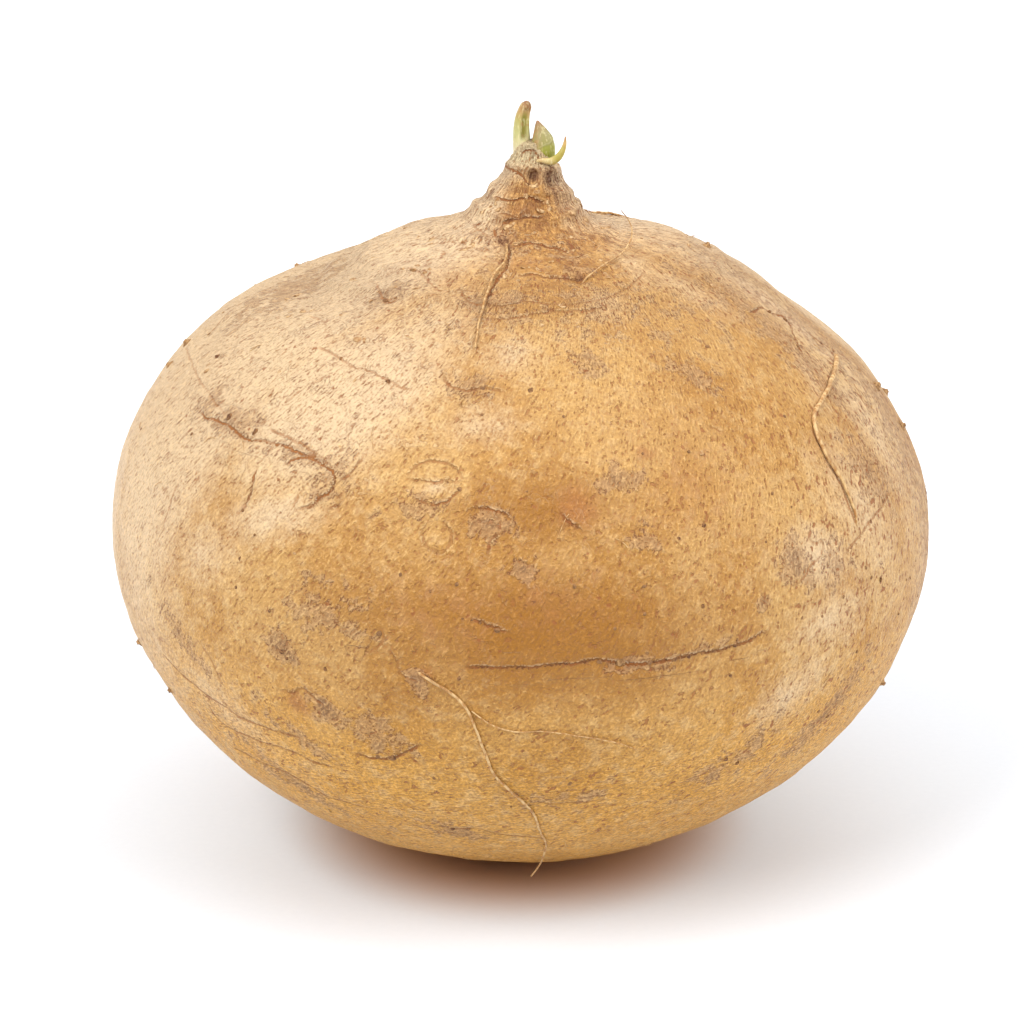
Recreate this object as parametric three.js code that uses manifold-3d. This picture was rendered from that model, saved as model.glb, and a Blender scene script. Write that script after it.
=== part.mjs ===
// A jicama root: a flattened, swollen tuber with the short neck that its vine grew from, resting on a small flat
// spot. Thin rootlets and broken rootlet stubs grow from its skin, and three green shoots sit in the neck's top.
// Millimetres, +Z up. The origin is on the ground, under the centre of the object.
// A place on the skin is given by its bearing, in degrees seen from above, where 0 faces -Y and 90 faces +X, and by
// its climb, which runs from 0 at the rim of the flat spot to 1 at the rim of the neck's top.

import * as THREE from "three";
import Module from "manifold-3d";

const wasm = await Module();
wasm.setup();

// Driving dimensions of the tuber.
const WIDTH = 138.8;
const DEPTH = 135.0;
const CROWN_RISE = 51.8;
const BELLY_DROP = 56.2;
const SPOT_RADIUS = 12.0;
const NECK_FOOT_RADIUS = 20.0;
const NECK_START = 0.82;

// The neck's side bends along these points, [radius, height above the top of the shoulders], up to its rim.
const NECK_BENDS = [
  [7.9, -0.4],
  [6.4, 5.8],
  [2.6, 13.1],
];
const NECK_CAP_RISE = 0.7;

// The crown leans towards +X, and the neck bends further that way as it rises.
const CROWN_LEAN = 0.8;
const NECK_LEAN = 1.3;

// The flat spot's middle lies this far behind the centre of the whole object.
const SPOT_BACK = 0.5;

// How finely the tuber is faceted.
const SECTORS = 64;
const SPOT_ROWS = 2;
const BODY_ROWS = 26;
const NECK_ROWS = 18;

// How far a shoot stands clear of the pocket that it grows from.
const POCKET_GAP = 0.3;

// Broad swellings and hollows: where they are, how far they spread in degrees and in climb, and their height.
const LOBES = [
  { bearing: -90, climb: 0.75, spread: 42, tall: 0.045, height: -3.0 },
  { bearing: -90, climb: 0.61, spread: 50, tall: 0.075, height: 0.4 },
  { bearing: -98, climb: 0.27, spread: 42, tall: 0.09, height: -1.4 },
  { bearing: 90, climb: 0.8, spread: 40, tall: 0.035, height: 0.9 },
  { bearing: 90, climb: 0.67, spread: 45, tall: 0.06, height: -1.8 },
  { bearing: 90, climb: 0.55, spread: 40, tall: 0.06, height: -0.9 },
  { bearing: 0, climb: 0.8, spread: 38, tall: 0.05, height: 0.8 },
  { bearing: -20, climb: 0.3, spread: 34, tall: 0.13, height: 0.9 },
  { bearing: 38, climb: 0.55, spread: 26, tall: 0.12, height: -0.8 },
  { bearing: -38, climb: 0.72, spread: 24, tall: 0.07, height: 0.7 },
  { bearing: 136, climb: 0.46, spread: 34, tall: 0.2, height: 1.1 },
  { bearing: 178, climb: 0.52, spread: 24, tall: 0.18, height: -0.8 },
  { bearing: -138, climb: 0.44, spread: 36, tall: 0.2, height: 1.2 },
  { bearing: 158, climb: 0.2, spread: 26, tall: 0.1, height: 1.0 },
];

// The ledges of old bark round the neck and its foot, each a ridge that wanders up and down as it goes round.
const LEDGES = [
  { climb: 0.757, tall: 0.006, height: 0.45, wander: 0.004, waves: 3, turn: 250 },
  { climb: 0.792, tall: 0.006, height: 0.4, wander: 0.004, waves: 2, turn: 40 },
  { climb: 0.852, tall: 0.008, height: 0.5, wander: 0.005, waves: 3, turn: 160 },
  { climb: 0.899, tall: 0.008, height: 0.6, wander: 0.006, waves: 2, turn: 250 },
  { climb: 0.93, tall: 0.008, height: 0.5, wander: 0.006, waves: 3, turn: 20 },
  { climb: 0.966, tall: 0.008, height: 0.4, wander: 0.006, waves: 1, turn: 120 },
];

// Pits where leaf stalks broke away from the neck, and where rootlets leave the skin.
const PITS = [
  { bearing: 2, climb: 0.961, reach: 0.9, depth: 1.0 },
  { bearing: 47, climb: 0.954, reach: 1.0, depth: 1.1 },
  { bearing: -172, climb: 0.95, reach: 1.0, depth: 0.9 },
  { bearing: -115, climb: 0.963, reach: 0.8, depth: 0.7 },
  { bearing: -15, climb: 0.857, reach: 1.3, depth: 1.2 },
  { bearing: 18, climb: 0.786, reach: 1.2, depth: 0.9 },
  { bearing: 12.5, climb: 0.421, reach: 1.5, depth: 0.6 },
];

// Rootlets: how thick each is at its root and at its tip, and its route from where it leaves the skin. A point of
// a route is [bearing, climb, height of the rootlet's middle above the skin].
const ROOTLETS = [
  {
    // Down the front of the neck and over its foot.
    thick: 0.9,
    tip: 0.6,
    route: [
      [-13, 0.859, -0.6],
      [-11.5, 0.846, 0.35],
      [-10.4, 0.81, 0.4],
      [-10.2, 0.77, 0.35],
      [-10.1, 0.73, 0.3],
      [-10.6, 0.706, 0.1],
    ],
  },
  {
    // Round the right of the neck's foot, with its end standing free.
    thick: 0.7,
    tip: 0.6,
    route: [
      [18, 0.784, -0.7],
      [21, 0.786, 0.3],
      [27, 0.793, 0.4],
      [40, 0.807, 0.6],
      [55, 0.818, 1.3],
      [59, 0.822, 2.5],
      [60, 0.829, 4.0],
      [56, 0.834, 5.4],
    ],
  },
  {
    // The longest, down the belly, with its end hanging clear of the skin.
    thick: 0.8,
    tip: 0.6,
    route: [
      [-13, 0.414, -0.5],
      [-11.5, 0.41, 0.25],
      [-8, 0.395, 0.35],
      [-6.3, 0.378, 0.35],
      [-5, 0.35, 0.35],
      [-3.6, 0.32, 0.35],
      [-1.5, 0.299, 0.35],
      [1.3, 0.274, 0.3],
      [2.9, 0.24, 0.3],
      [4.2, 0.21, 0.3],
      [4.4, 0.193, 0.5],
      [4.0, 0.183, 1.2],
      [3.2, 0.175, 2.2],
      [2.0, 0.168, 3.3],
    ],
  },
  {
    // A side branch of the longest.
    thick: 0.6,
    tip: 0.6,
    route: [
      [-6.2, 0.382, 0.1],
      [-3.9, 0.371, 0.25],
      [-1, 0.364, 0.25],
      [3.6, 0.363, 0.25],
      [8.8, 0.355, 0.25],
      [12.8, 0.346, 0.2],
      [15.8, 0.335, 0],
    ],
  },
  {
    // A pale strip pressed to the right shoulder and flank.
    thick: 0.8,
    tip: 0.6,
    route: [
      [79, 0.637, -0.2],
      [70, 0.631, 0.15],
      [58, 0.616, 0.2],
      [52.5, 0.603, 0.2],
      [51, 0.575, 0.2],
      [52, 0.544, 0.2],
      [52.3, 0.517, 0.15],
      [52, 0.5, -0.1],
    ],
  },
  {
    // From the back of the neck's foot.
    thick: 0.8,
    tip: 0.6,
    route: [
      [152, 0.83, -0.5],
      [147, 0.805, 0.3],
      [139, 0.76, 0.35],
      [133, 0.71, 0.3],
      [130, 0.66, 0.3],
      [131, 0.615, 0],
    ],
  },
  {
    // Round the left of the back, with its end hanging clear.
    thick: 0.8,
    tip: 0.6,
    route: [
      [-142, 0.462, -0.5],
      [-138, 0.448, 0.3],
      [-132, 0.415, 0.35],
      [-128, 0.372, 0.3],
      [-129, 0.325, 0.3],
      [-133, 0.285, 0.4],
      [-135, 0.262, 1.3],
      [-134, 0.25, 2.6],
    ],
  },
  {
    // Low across the back.
    thick: 0.7,
    tip: 0.6,
    route: [
      [173, 0.4, -0.5],
      [169, 0.389, 0.25],
      [161, 0.38, 0.3],
      [152, 0.373, 0.3],
      [145, 0.358, 0.2],
      [140, 0.338, 0],
    ],
  },
];
const ROOTLET_SIDES = 5;
const STEPS_BETWEEN_POINTS = 2;

// Broken stubs of rootlets: small blunt cones that stand on the skin.
const STUBS = [
  { bearing: -89, climb: 0.625, long: 1.0, thick: 2.0 },
  { bearing: -86, climb: 0.603, long: 0.8, thick: 1.8 },
  { bearing: -73, climb: 0.342, long: 1.0, thick: 2.0 },
  { bearing: -63, climb: 0.314, long: 0.9, thick: 1.8 },
  { bearing: 12.5, climb: 0.421, long: 0.2, thick: 1.4 },
  { bearing: 100, climb: 0.767, long: 1.1, thick: 1.8 },
  { bearing: 85, climb: 0.586, long: 1.1, thick: 2.0 },
  { bearing: 93, climb: 0.563, long: 0.9, thick: 1.8 },
  { bearing: 86, climb: 0.538, long: 1.0, thick: 2.0 },
  { bearing: 69, climb: 0.309, long: 1.2, thick: 2.0 },
  { bearing: 128, climb: 0.59, long: 1.0, thick: 2.0 },
  { bearing: 163, climb: 0.66, long: 0.9, thick: 1.8 },
  { bearing: -124, climb: 0.68, long: 1.1, thick: 2.0 },
  { bearing: -152, climb: 0.53, long: 0.9, thick: 1.9 },
  { bearing: -171, climb: 0.31, long: 1.0, thick: 2.0 },
  { bearing: 117, climb: 0.37, long: 0.9, thick: 1.8 },
];
const STUB_SIDES = 7;
const STUB_ROOT = 1.2;

// The shoots. A place is [to the right of the neck's axis, behind it, above the top of the shoulders].
const CURLED_SHOOT = {
  sides: 14,
  middles: [
    [-1.6, 1.0, 8.4],
    [-2.1, 1.2, 11.8],
    [-2.1, 1.2, 14.4],
    [-1.9, 1.2, 16.6],
    [-1.6, 1.2, 18.1],
    [-1.3, 1.2, 19.3],
  ],
  radii: [1.2, 1.45, 1.4, 1.25, 1.1, 0.85],
};
const GREEN_BUD = {
  sides: 14,
  middles: [
    [1.3, -0.2, 9.6],
    [1.6, -0.3, 11.4],
    [1.6, -0.3, 12.9],
    [1.3, -0.3, 14.4],
    [0.9, -0.3, 15.6],
    [0.6, -0.3, 16.5],
  ],
  radii: [1.2, 2.0, 2.1, 1.7, 1.1, 0.5],
};
const HOOKED_SHOOT = {
  sides: 8,
  middles: [
    [1.2, -2.9, 9.9],
    [2.0, -3.2, 10.9],
    [3.0, -3.3, 11.4],
    [3.9, -3.2, 12.0],
    [4.6, -3.1, 12.9],
    [5.0, -3.0, 14.0],
    [5.1, -2.9, 14.9],
  ],
  radii: [0.5, 0.55, 0.58, 0.54, 0.45, 0.36, 0.3],
};

const rad = THREE.MathUtils.degToRad;
const smooth = THREE.MathUtils.smoothstep;
const mix = THREE.MathUtils.lerp;

// Tilts of the skin's ends on the ellipse that carries it, and the levels that follow from them.
const spotTilt = Math.acos(SPOT_RADIUS / (WIDTH / 2));
const neckTilt = Math.acos(NECK_FOOT_RADIUS / (WIDTH / 2));
const GIRTH_LEVEL = BELLY_DROP * Math.sin(spotTilt);
const SHOULDER_LEVEL = GIRTH_LEVEL + CROWN_RISE;

const neckFoot = [NECK_FOOT_RADIUS, CROWN_RISE * (Math.sin(neckTilt) - 1)];
const neckSide = new THREE.CubicBezierCurve(
  ...[neckFoot, ...NECK_BENDS].map(([radius, height]) => new THREE.Vector2(radius, SHOULDER_LEVEL + height)),
);

// The skin's outline, as a point (radius, level) for each climb, before any swelling or ledge.
function outline(climb) {
  if (climb > NECK_START) {
    return neckSide.getPoint((climb - NECK_START) / (1 - NECK_START));
  }
  const tilt = mix(-spotTilt, neckTilt, climb / NECK_START);
  const rise = tilt < 0 ? BELLY_DROP : CROWN_RISE;
  return new THREE.Vector2((WIDTH / 2) * Math.cos(tilt), GIRTH_LEVEL + rise * Math.sin(tilt));
}

// A point at a bearing, from its place (radius, level) in the upright half-plane there and its climb.
function turned(bearing, climb, place) {
  const lean = CROWN_LEAN * smooth(climb, 0.6, 0.85) + NECK_LEAN * smooth(climb, 0.86, 1);
  const x = place.x * Math.sin(rad(bearing)) + lean;
  const y = -place.x * Math.cos(rad(bearing)) * (DEPTH / WIDTH);
  return new THREE.Vector3(x, y, place.y);
}

// A bell-shaped bump: 1 in its middle, and nearly 0 at twice its reach.
function bump(distance, reach) {
  return Math.exp(-((distance / reach) ** 2));
}

function bearingBetween(from, to) {
  return THREE.MathUtils.euclideanModulo(to - from + 180, 360) - 180;
}

// How far the skin stands out from the plain outline.
function relief(bearing, climb) {
  const here = turned(bearing, climb, outline(climb));
  let height = 0;
  for (const lobe of LOBES) {
    const beside = bump(bearingBetween(lobe.bearing, bearing), lobe.spread);
    height += lobe.height * beside * bump(climb - lobe.climb, lobe.tall);
  }
  for (const ledge of LEDGES) {
    const level = ledge.climb + ledge.wander * Math.sin(rad(ledge.waves * bearing + ledge.turn));
    height += ledge.height * bump(climb - level, ledge.tall);
  }
  for (const pit of PITS) {
    const middle = turned(pit.bearing, pit.climb, outline(pit.climb));
    height -= pit.depth * bump(here.distanceTo(middle), pit.reach);
  }
  return height * smooth(climb, 0, 0.06);
}

// A point on the skin, or lifted off it by some height.
function skinPoint(bearing, climb, lift = 0) {
  const step = 0.0005;
  const along = outline(Math.min(climb + step, 1)).sub(outline(climb - step)).normalize();
  const outwards = new THREE.Vector2(along.y, -along.x);
  const place = outline(climb).addScaledVector(outwards, relief(bearing, climb) + lift);
  return turned(bearing, climb, place);
}

// A closed body over a stack of rings that all have the same number of points, with a point closing each end.
function loft(rings, firstTip, lastTip) {
  const count = rings[0].length;
  const corners = [firstTip, ...rings.flat(), lastTip];
  const faces = [];
  rings.forEach((ring, row) => {
    for (let i = 0; i < count; i++) {
      const here = 1 + row * count + i;
      const beside = 1 + row * count + ((i + 1) % count);
      if (row === 0) {
        faces.push(0, beside, here);
      }
      if (row === rings.length - 1) {
        faces.push(here, beside, corners.length - 1);
      } else {
        faces.push(here, beside, beside + count, here, beside + count, here + count);
      }
    }
  });
  const geometry = new THREE.BufferGeometry().setFromPoints(corners);
  geometry.setIndex(faces);
  return geometry;
}

// A round strand through some points, with a radius for each, as for a rootlet or a shoot. It can be made thicker
// all over by some amount, for the pocket that holds it.
function strand(points, radii, sides, thicker = 0) {
  const curve = new THREE.CatmullRomCurve3(points);
  const steps = (points.length - 1) * STEPS_BETWEEN_POINTS;
  let side = new THREE.Vector3(0, 0, 1);
  const rings = [];
  for (let step = 0; step <= steps; step++) {
    const middle = curve.getPoint(step / steps);
    const along = curve.getTangent(step / steps);
    side = side.clone().addScaledVector(along, -side.dot(along)).normalize();
    const across = along.clone().cross(side);
    const place = step / STEPS_BETWEEN_POINTS;
    const before = Math.min(Math.floor(place), radii.length - 2);
    const radius = mix(radii[before], radii[before + 1], place - before) + thicker;
    const ring = [];
    for (let i = 0; i < sides; i++) {
      const turn = (2 * Math.PI * i) / sides;
      const corner = middle.clone().addScaledVector(side, radius * Math.cos(turn));
      ring.push(corner.addScaledVector(across, radius * Math.sin(turn)));
    }
    rings.push(ring);
  }
  const start = curve.getTangent(0).multiplyScalar(-(0.6 * radii[0] + thicker));
  const end = curve.getTangent(1).multiplyScalar(0.6 * radii.at(-1) + thicker);
  return loft(rings, start.add(points[0]), end.add(points.at(-1)));
}

function toSolid(geometry) {
  const vertProperties = new Float32Array(geometry.attributes.position.array);
  const triVerts = new Uint32Array(geometry.index.array);
  return new wasm.Manifold(new wasm.Mesh({ numProp: 3, vertProperties, triVerts }));
}

function toGeometry(solid) {
  const mesh = solid.getMesh();
  const geometry = new THREE.BufferGeometry();
  geometry.setAttribute("position", new THREE.BufferAttribute(mesh.vertProperties, mesh.numProp));
  geometry.setIndex(new THREE.BufferAttribute(mesh.triVerts, 1));
  return geometry;
}

// The bare tuber: the flat spot, the swollen body and the neck, in one skin.
function tuberSkin() {
  const rings = [];
  const ringOf = (pointAt) => Array.from({ length: SECTORS }, (_, i) => pointAt((360 * i) / SECTORS));
  for (let row = 1; row < SPOT_ROWS; row++) {
    const radius = (SPOT_RADIUS * row) / SPOT_ROWS;
    rings.push(ringOf((bearing) => turned(bearing, 0, new THREE.Vector2(radius, 0))));
  }
  for (let row = 0; row < BODY_ROWS; row++) {
    const climb = (NECK_START * row) / BODY_ROWS;
    rings.push(ringOf((bearing) => skinPoint(bearing, climb)));
  }
  for (let row = 0; row <= NECK_ROWS; row++) {
    const climb = mix(NECK_START, 1, row / NECK_ROWS);
    rings.push(ringOf((bearing) => skinPoint(bearing, climb)));
  }
  const rim = outline(1);
  const shelf = new THREE.Vector2(rim.x * 0.6, rim.y + NECK_CAP_RISE * 0.8);
  rings.push(ringOf((bearing) => turned(bearing, 1, shelf)));
  const underside = new THREE.Vector3(0, 0, 0);
  const top = turned(0, 1, new THREE.Vector2(0, rim.y + NECK_CAP_RISE));
  return loft(rings, underside, top);
}

function rootletShape({ thick, tip, route }) {
  const points = route.map(([bearing, climb, height]) => skinPoint(bearing, climb, height));
  const radii = route.map((_, i) => mix(thick, tip, i / (route.length - 1)) / 2);
  return strand(points, radii, ROOTLET_SIDES);
}

function stubShape({ bearing, climb, long, thick }) {
  const heights = [-STUB_ROOT, 0, 0.7 * long, long];
  const widths = [1.1, 1, 0.62, 0.36];
  const points = heights.map((height) => skinPoint(bearing, climb, height));
  const radii = widths.map((width) => (width * thick) / 2);
  return strand(points, radii, STUB_SIDES);
}

function shootShape({ middles, radii, sides }, thicker = 0) {
  const axis = CROWN_LEAN + NECK_LEAN;
  const points = middles.map(([right, back, up]) => new THREE.Vector3(axis + right, back, SHOULDER_LEVEL + up));
  return strand(points, radii, sides, thicker);
}

const SHOOTS = { curled_shoot: CURLED_SHOOT, green_bud: GREEN_BUD, hooked_shoot: HOOKED_SHOOT };

// The whole tuber, with its rootlets and stubs grown on and a pocket sunk for each shoot.
function tuberShape() {
  const grown = [...ROOTLETS.map(rootletShape), ...STUBS.map(stubShape)].map(toSolid);
  const whole = grown.reduce((body, piece) => body.add(piece), toSolid(tuberSkin()));
  const pockets = Object.values(SHOOTS).map((shoot) => toSolid(shootShape(shoot, POCKET_GAP)));
  return toGeometry(pockets.reduce((body, pocket) => body.subtract(pocket), whole));
}

const skinFinish = new THREE.MeshStandardMaterial({ color: 0xcfa06a, roughness: 0.72, metalness: 0 });
const shootFinishes = {
  curled_shoot: new THREE.MeshStandardMaterial({ color: 0xb9b078, roughness: 0.55, metalness: 0 }),
  green_bud: new THREE.MeshStandardMaterial({ color: 0x9aa24a, roughness: 0.5, metalness: 0 }),
  hooked_shoot: new THREE.MeshStandardMaterial({ color: 0xb5b04e, roughness: 0.5, metalness: 0 }),
};

const jicama = new THREE.Group();
jicama.position.y = SPOT_BACK;

const tuber = new THREE.Mesh(tuberShape(), skinFinish);
tuber.name = "tuber";
jicama.add(tuber);

for (const [name, shoot] of Object.entries(SHOOTS)) {
  const piece = new THREE.Mesh(shootShape(shoot), shootFinishes[name]);
  piece.name = name;
  jicama.add(piece);
}

export default jicama;
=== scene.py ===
# %% [markdown]
# # A jicama root
#
# A jicama is the swollen root of a climbing bean. It has a thin, papery skin, a short neck of old bark where the
# vine grew, and here and there a dry rootlet. This lesson dresses the plain solids of one root: it rebuilds the
# skin as one fine mesh, writes what varies over the skin into attributes of that mesh, and lets one material turn
# them into colour and relief. The small things that stand on the skin, such as rootlets, flakes and corky specks,
# are meshes of their own.

# %% Load the solids
import math

import bpy
import numpy as np
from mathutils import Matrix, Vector, noise
from mathutils.bvhtree import BVHTree


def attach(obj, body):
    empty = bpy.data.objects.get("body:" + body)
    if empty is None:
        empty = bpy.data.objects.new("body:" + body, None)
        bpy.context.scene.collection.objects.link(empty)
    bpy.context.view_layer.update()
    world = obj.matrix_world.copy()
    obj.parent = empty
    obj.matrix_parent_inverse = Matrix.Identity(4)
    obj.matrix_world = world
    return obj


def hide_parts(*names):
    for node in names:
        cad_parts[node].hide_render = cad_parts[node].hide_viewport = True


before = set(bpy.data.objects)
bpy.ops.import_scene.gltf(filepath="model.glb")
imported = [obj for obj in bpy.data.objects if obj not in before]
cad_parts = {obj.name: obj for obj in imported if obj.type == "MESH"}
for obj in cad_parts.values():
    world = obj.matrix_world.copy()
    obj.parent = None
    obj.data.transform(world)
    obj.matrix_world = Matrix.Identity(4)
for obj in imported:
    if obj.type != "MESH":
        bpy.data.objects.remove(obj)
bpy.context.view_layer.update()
MM = 0.001

# %% [markdown]
# ## The camera
#
# The root was looked at from a little above, from far enough away that it hardly tapers. A camera could be aimed by
# hand, but here its place is worked out, because the same numbers then turn a place in its square frame into a line
# of sight. Everything that is placed in the frame later on is cast along such a line onto the skin.

# %% The camera's place
FRAME_SIDE = 1024
LENS = 100.0
SENSOR = 36.0
FOCAL_LENGTH = LENS / SENSOR * FRAME_SIDE
TILT_DOWN = math.radians(18)
DISTANCE = 486.0
TARGET_LEVEL = 55.35
TARGET_RIGHT = -1.4
TARGET_UP = 1.08
ROOT_BACK = 0.5

right = Vector((1, 0, 0))
up = Vector((0, math.sin(TILT_DOWN), math.cos(TILT_DOWN)))
forward = Vector((0, math.cos(TILT_DOWN), -math.sin(TILT_DOWN)))
eye = Vector((0, ROOT_BACK, TARGET_LEVEL)) + TARGET_RIGHT * right + TARGET_UP * up - DISTANCE * forward

lens = bpy.data.cameras.new("camera")
lens.lens = LENS
lens.sensor_width = SENSOR
lens.clip_start = 0.01
lens.clip_end = 20
camera = bpy.data.objects.new("camera", lens)
camera.location = eye * MM
camera.rotation_euler = (math.pi / 2 - TILT_DOWN, 0, 0)
bpy.context.scene.collection.objects.link(camera)
bpy.context.scene.camera = camera
print("the camera stands at", [round(value) for value in eye], "mm")

# %% [markdown]
# ## The root's form
#
# The root is a turned shape that has been pushed about. Its outline is an ellipse that carries a curved neck, and
# broad swellings, ledges of bark and small pits stand on it. The form could be sculpted, but it has to agree with
# the solid below it, so the same formula is repeated here, on whole arrays at once. A place on the skin is a
# bearing, in degrees from the front towards the right, and a climb, from 0 at the flat spot to 1 at the neck's rim.

# %% The outline
WIDTH = 138.8
DEPTH = 135.0
CROWN_RISE = 51.8
BELLY_DROP = 56.2
SPOT_RADIUS = 12.0
NECK_FOOT_RADIUS = 20.0
NECK_START = 0.82
NECK_BENDS = [(7.9, -0.4), (6.4, 5.8), (2.6, 13.1)]
NECK_CAP_RISE = 0.7
CROWN_LEAN = 0.8
NECK_LEAN = 1.3
SMALL_CLIMB = 0.0005

SPOT_TILT = math.acos(SPOT_RADIUS / (WIDTH / 2))
NECK_TILT = math.acos(NECK_FOOT_RADIUS / (WIDTH / 2))
GIRTH_LEVEL = BELLY_DROP * math.sin(SPOT_TILT)
SHOULDER_LEVEL = GIRTH_LEVEL + CROWN_RISE


def smooth(value, low, high):
    part = np.clip((np.asarray(value, float) - low) / (high - low), 0, 1)
    return part * part * (3 - 2 * part)


def bump(distance, reach):
    return np.exp(-((distance / reach) ** 2))


def outline(climb):
    """Radius and level, before any swelling, for each climb."""
    climb = np.asarray(climb, float)
    tilt = -SPOT_TILT + (NECK_TILT + SPOT_TILT) * climb / NECK_START
    rise = np.where(tilt < 0, BELLY_DROP, CROWN_RISE)
    body = np.array([WIDTH / 2 * np.cos(tilt), GIRTH_LEVEL + rise * np.sin(tilt)])
    part = np.clip((climb - NECK_START) / (1 - NECK_START), 0, 1)
    foot = (NECK_FOOT_RADIUS, CROWN_RISE * (math.sin(NECK_TILT) - 1))
    weights = [(1 - part) ** 3, 3 * part * (1 - part) ** 2, 3 * part**2 * (1 - part), part**3]
    neck = sum(w * np.array([radius, SHOULDER_LEVEL + height]).reshape(2, *[1] * climb.ndim)
               for w, (radius, height) in zip(weights, [foot, *NECK_BENDS]))
    return np.where(climb > NECK_START, neck, body)


def turned(bearing, climb, radius, level):
    """Points at some bearings, from their radius and level, with the crown's and the neck's lean."""
    angle = np.radians(bearing)
    lean = CROWN_LEAN * smooth(climb, 0.6, 0.85) + NECK_LEAN * smooth(climb, 0.86, 1)
    x = radius * np.sin(angle) + lean
    y = ROOT_BACK - radius * np.cos(angle) * DEPTH / WIDTH
    return np.stack(np.broadcast_arrays(x, y, level), axis=-1)


print(f"girth at {GIRTH_LEVEL:.1f} mm, shoulders at {SHOULDER_LEVEL:.1f} mm")

# %% Swellings, ledges and pits
# Broad swellings: bearing, climb, spread in degrees, spread in climb, height.
LOBES = [
    (-90, 0.75, 42, 0.045, -3.0),
    (-90, 0.61, 50, 0.075, 0.4),
    (-98, 0.27, 42, 0.09, -1.4),
    (90, 0.8, 40, 0.035, 0.9),
    (90, 0.67, 45, 0.06, -1.8),
    (90, 0.55, 40, 0.06, -0.9),
    (0, 0.8, 38, 0.05, 0.8),
    (-20, 0.3, 34, 0.13, 0.9),
    (38, 0.55, 26, 0.12, -0.8),
    (-38, 0.72, 24, 0.07, 0.7),
    (136, 0.46, 34, 0.2, 1.1),
    (178, 0.52, 24, 0.18, -0.8),
    (-138, 0.44, 36, 0.2, 1.2),
    (158, 0.2, 26, 0.1, 1.0),
]
# Ledges of bark: climb, thickness in climb, height, how far each wanders, in how many waves, turned by how much.
LEDGES = [
    (0.757, 0.006, 0.45, 0.004, 3, 250),
    (0.792, 0.006, 0.4, 0.004, 2, 40),
    (0.852, 0.008, 0.5, 0.005, 3, 160),
    (0.899, 0.008, 0.6, 0.006, 2, 250),
    (0.93, 0.008, 0.5, 0.006, 3, 20),
    (0.966, 0.008, 0.4, 0.006, 1, 120),
]
# Pits: bearing, climb, reach, depth.
PITS = [
    (2, 0.961, 0.9, 1.0),
    (47, 0.954, 1.0, 1.1),
    (-172, 0.95, 1.0, 0.9),
    (-115, 0.963, 0.8, 0.7),
    (-15, 0.857, 1.3, 1.2),
    (18, 0.786, 1.2, 0.9),
    (12.5, 0.421, 1.5, 0.6),
    (-12, 0.985, 2.3, 0.8),
]


def ledge_level(ledge, bearing):
    climb, _, _, wander, waves, turn = ledge
    return climb + wander * np.sin(np.radians(waves * bearing + turn))


def relief(bearing, climb):
    """How far the skin stands out from the plain outline."""
    here = turned(bearing, climb, *outline(climb))
    height = np.zeros(np.shape(climb))
    for lobe_bearing, lobe_climb, spread, tall, rise in LOBES:
        between = (bearing - lobe_bearing + 180) % 360 - 180
        height = height + rise * bump(between, spread) * bump(climb - lobe_climb, tall)
    for ledge in LEDGES:
        height = height + ledge[2] * bump(climb - ledge_level(ledge, bearing), ledge[1])
    for pit_bearing, pit_climb, reach, depth in PITS:
        middle = turned(pit_bearing, pit_climb, *outline(pit_climb))
        height = height - depth * bump(np.linalg.norm(here - middle, axis=-1), reach)
    return height * smooth(climb, 0, 0.06)


def skin_point(bearing, climb, lift=0.0):
    """Points on the skin, or lifted off it."""
    bearing, climb = np.broadcast_arrays(np.asarray(bearing, float), np.asarray(climb, float))
    along = outline(np.minimum(climb + SMALL_CLIMB, 1)) - outline(climb - SMALL_CLIMB)
    along = along / np.linalg.norm(along, axis=0)
    out = relief(bearing, climb) + lift
    radius, level = outline(climb) + np.array([along[1], -along[0]]) * out
    return turned(bearing, climb, radius, level)


print("the front of the girth is at", np.round(skin_point(0, 0.45), 2))

# %% [markdown]
# ## The skin's mesh
#
# A lofted skin with the same number of points in every ring would crowd them at the poles and starve the girth.
# Here each ring gets as many points as its own length asks for, and neighbouring rings are stitched by walking
# round both at once. The spacing is a little finer at the front, and much finer on the neck, where the bark is.

# %% Rings whose counts follow their length
BODY_SPACING = 0.87
NECK_SPACING = 0.33
ROW_SHARE = 0.87
FRONT_GATHER = 0.16


def spacing_at(climb):
    return BODY_SPACING + (NECK_SPACING - BODY_SPACING) * float(smooth(climb, 0.73, 0.86))


def gathered(turns):
    """Bearings in degrees for even turns from 0 to 1, drawn together at the front."""
    return np.degrees(2 * np.pi * turns - FRONT_GATHER * np.sin(2 * np.pi * turns))


ring_climbs = [0.0]
while ring_climbs[-1] < 1:
    here = ring_climbs[-1]
    rate = np.linalg.norm(outline(here + SMALL_CLIMB) - outline(here)) / SMALL_CLIMB
    ring_climbs.append(min(1.0, here + spacing_at(here) * ROW_SHARE / rate))
ring_climbs = np.array(ring_climbs)
ring_counts = [int(2 * np.pi * outline(climb)[0] / spacing_at(climb)) for climb in ring_climbs]
print(len(ring_climbs), "rings, of", min(ring_counts), "to", max(ring_counts), "points")

# %% Stitch the rings into one closed skin
SPOT_RINGS = 6
FIRST_RING_POINTS = 12
CAP_SHARES = [0.8, 0.6, 0.4, 0.2]
FEWEST_POINTS = 8


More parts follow.
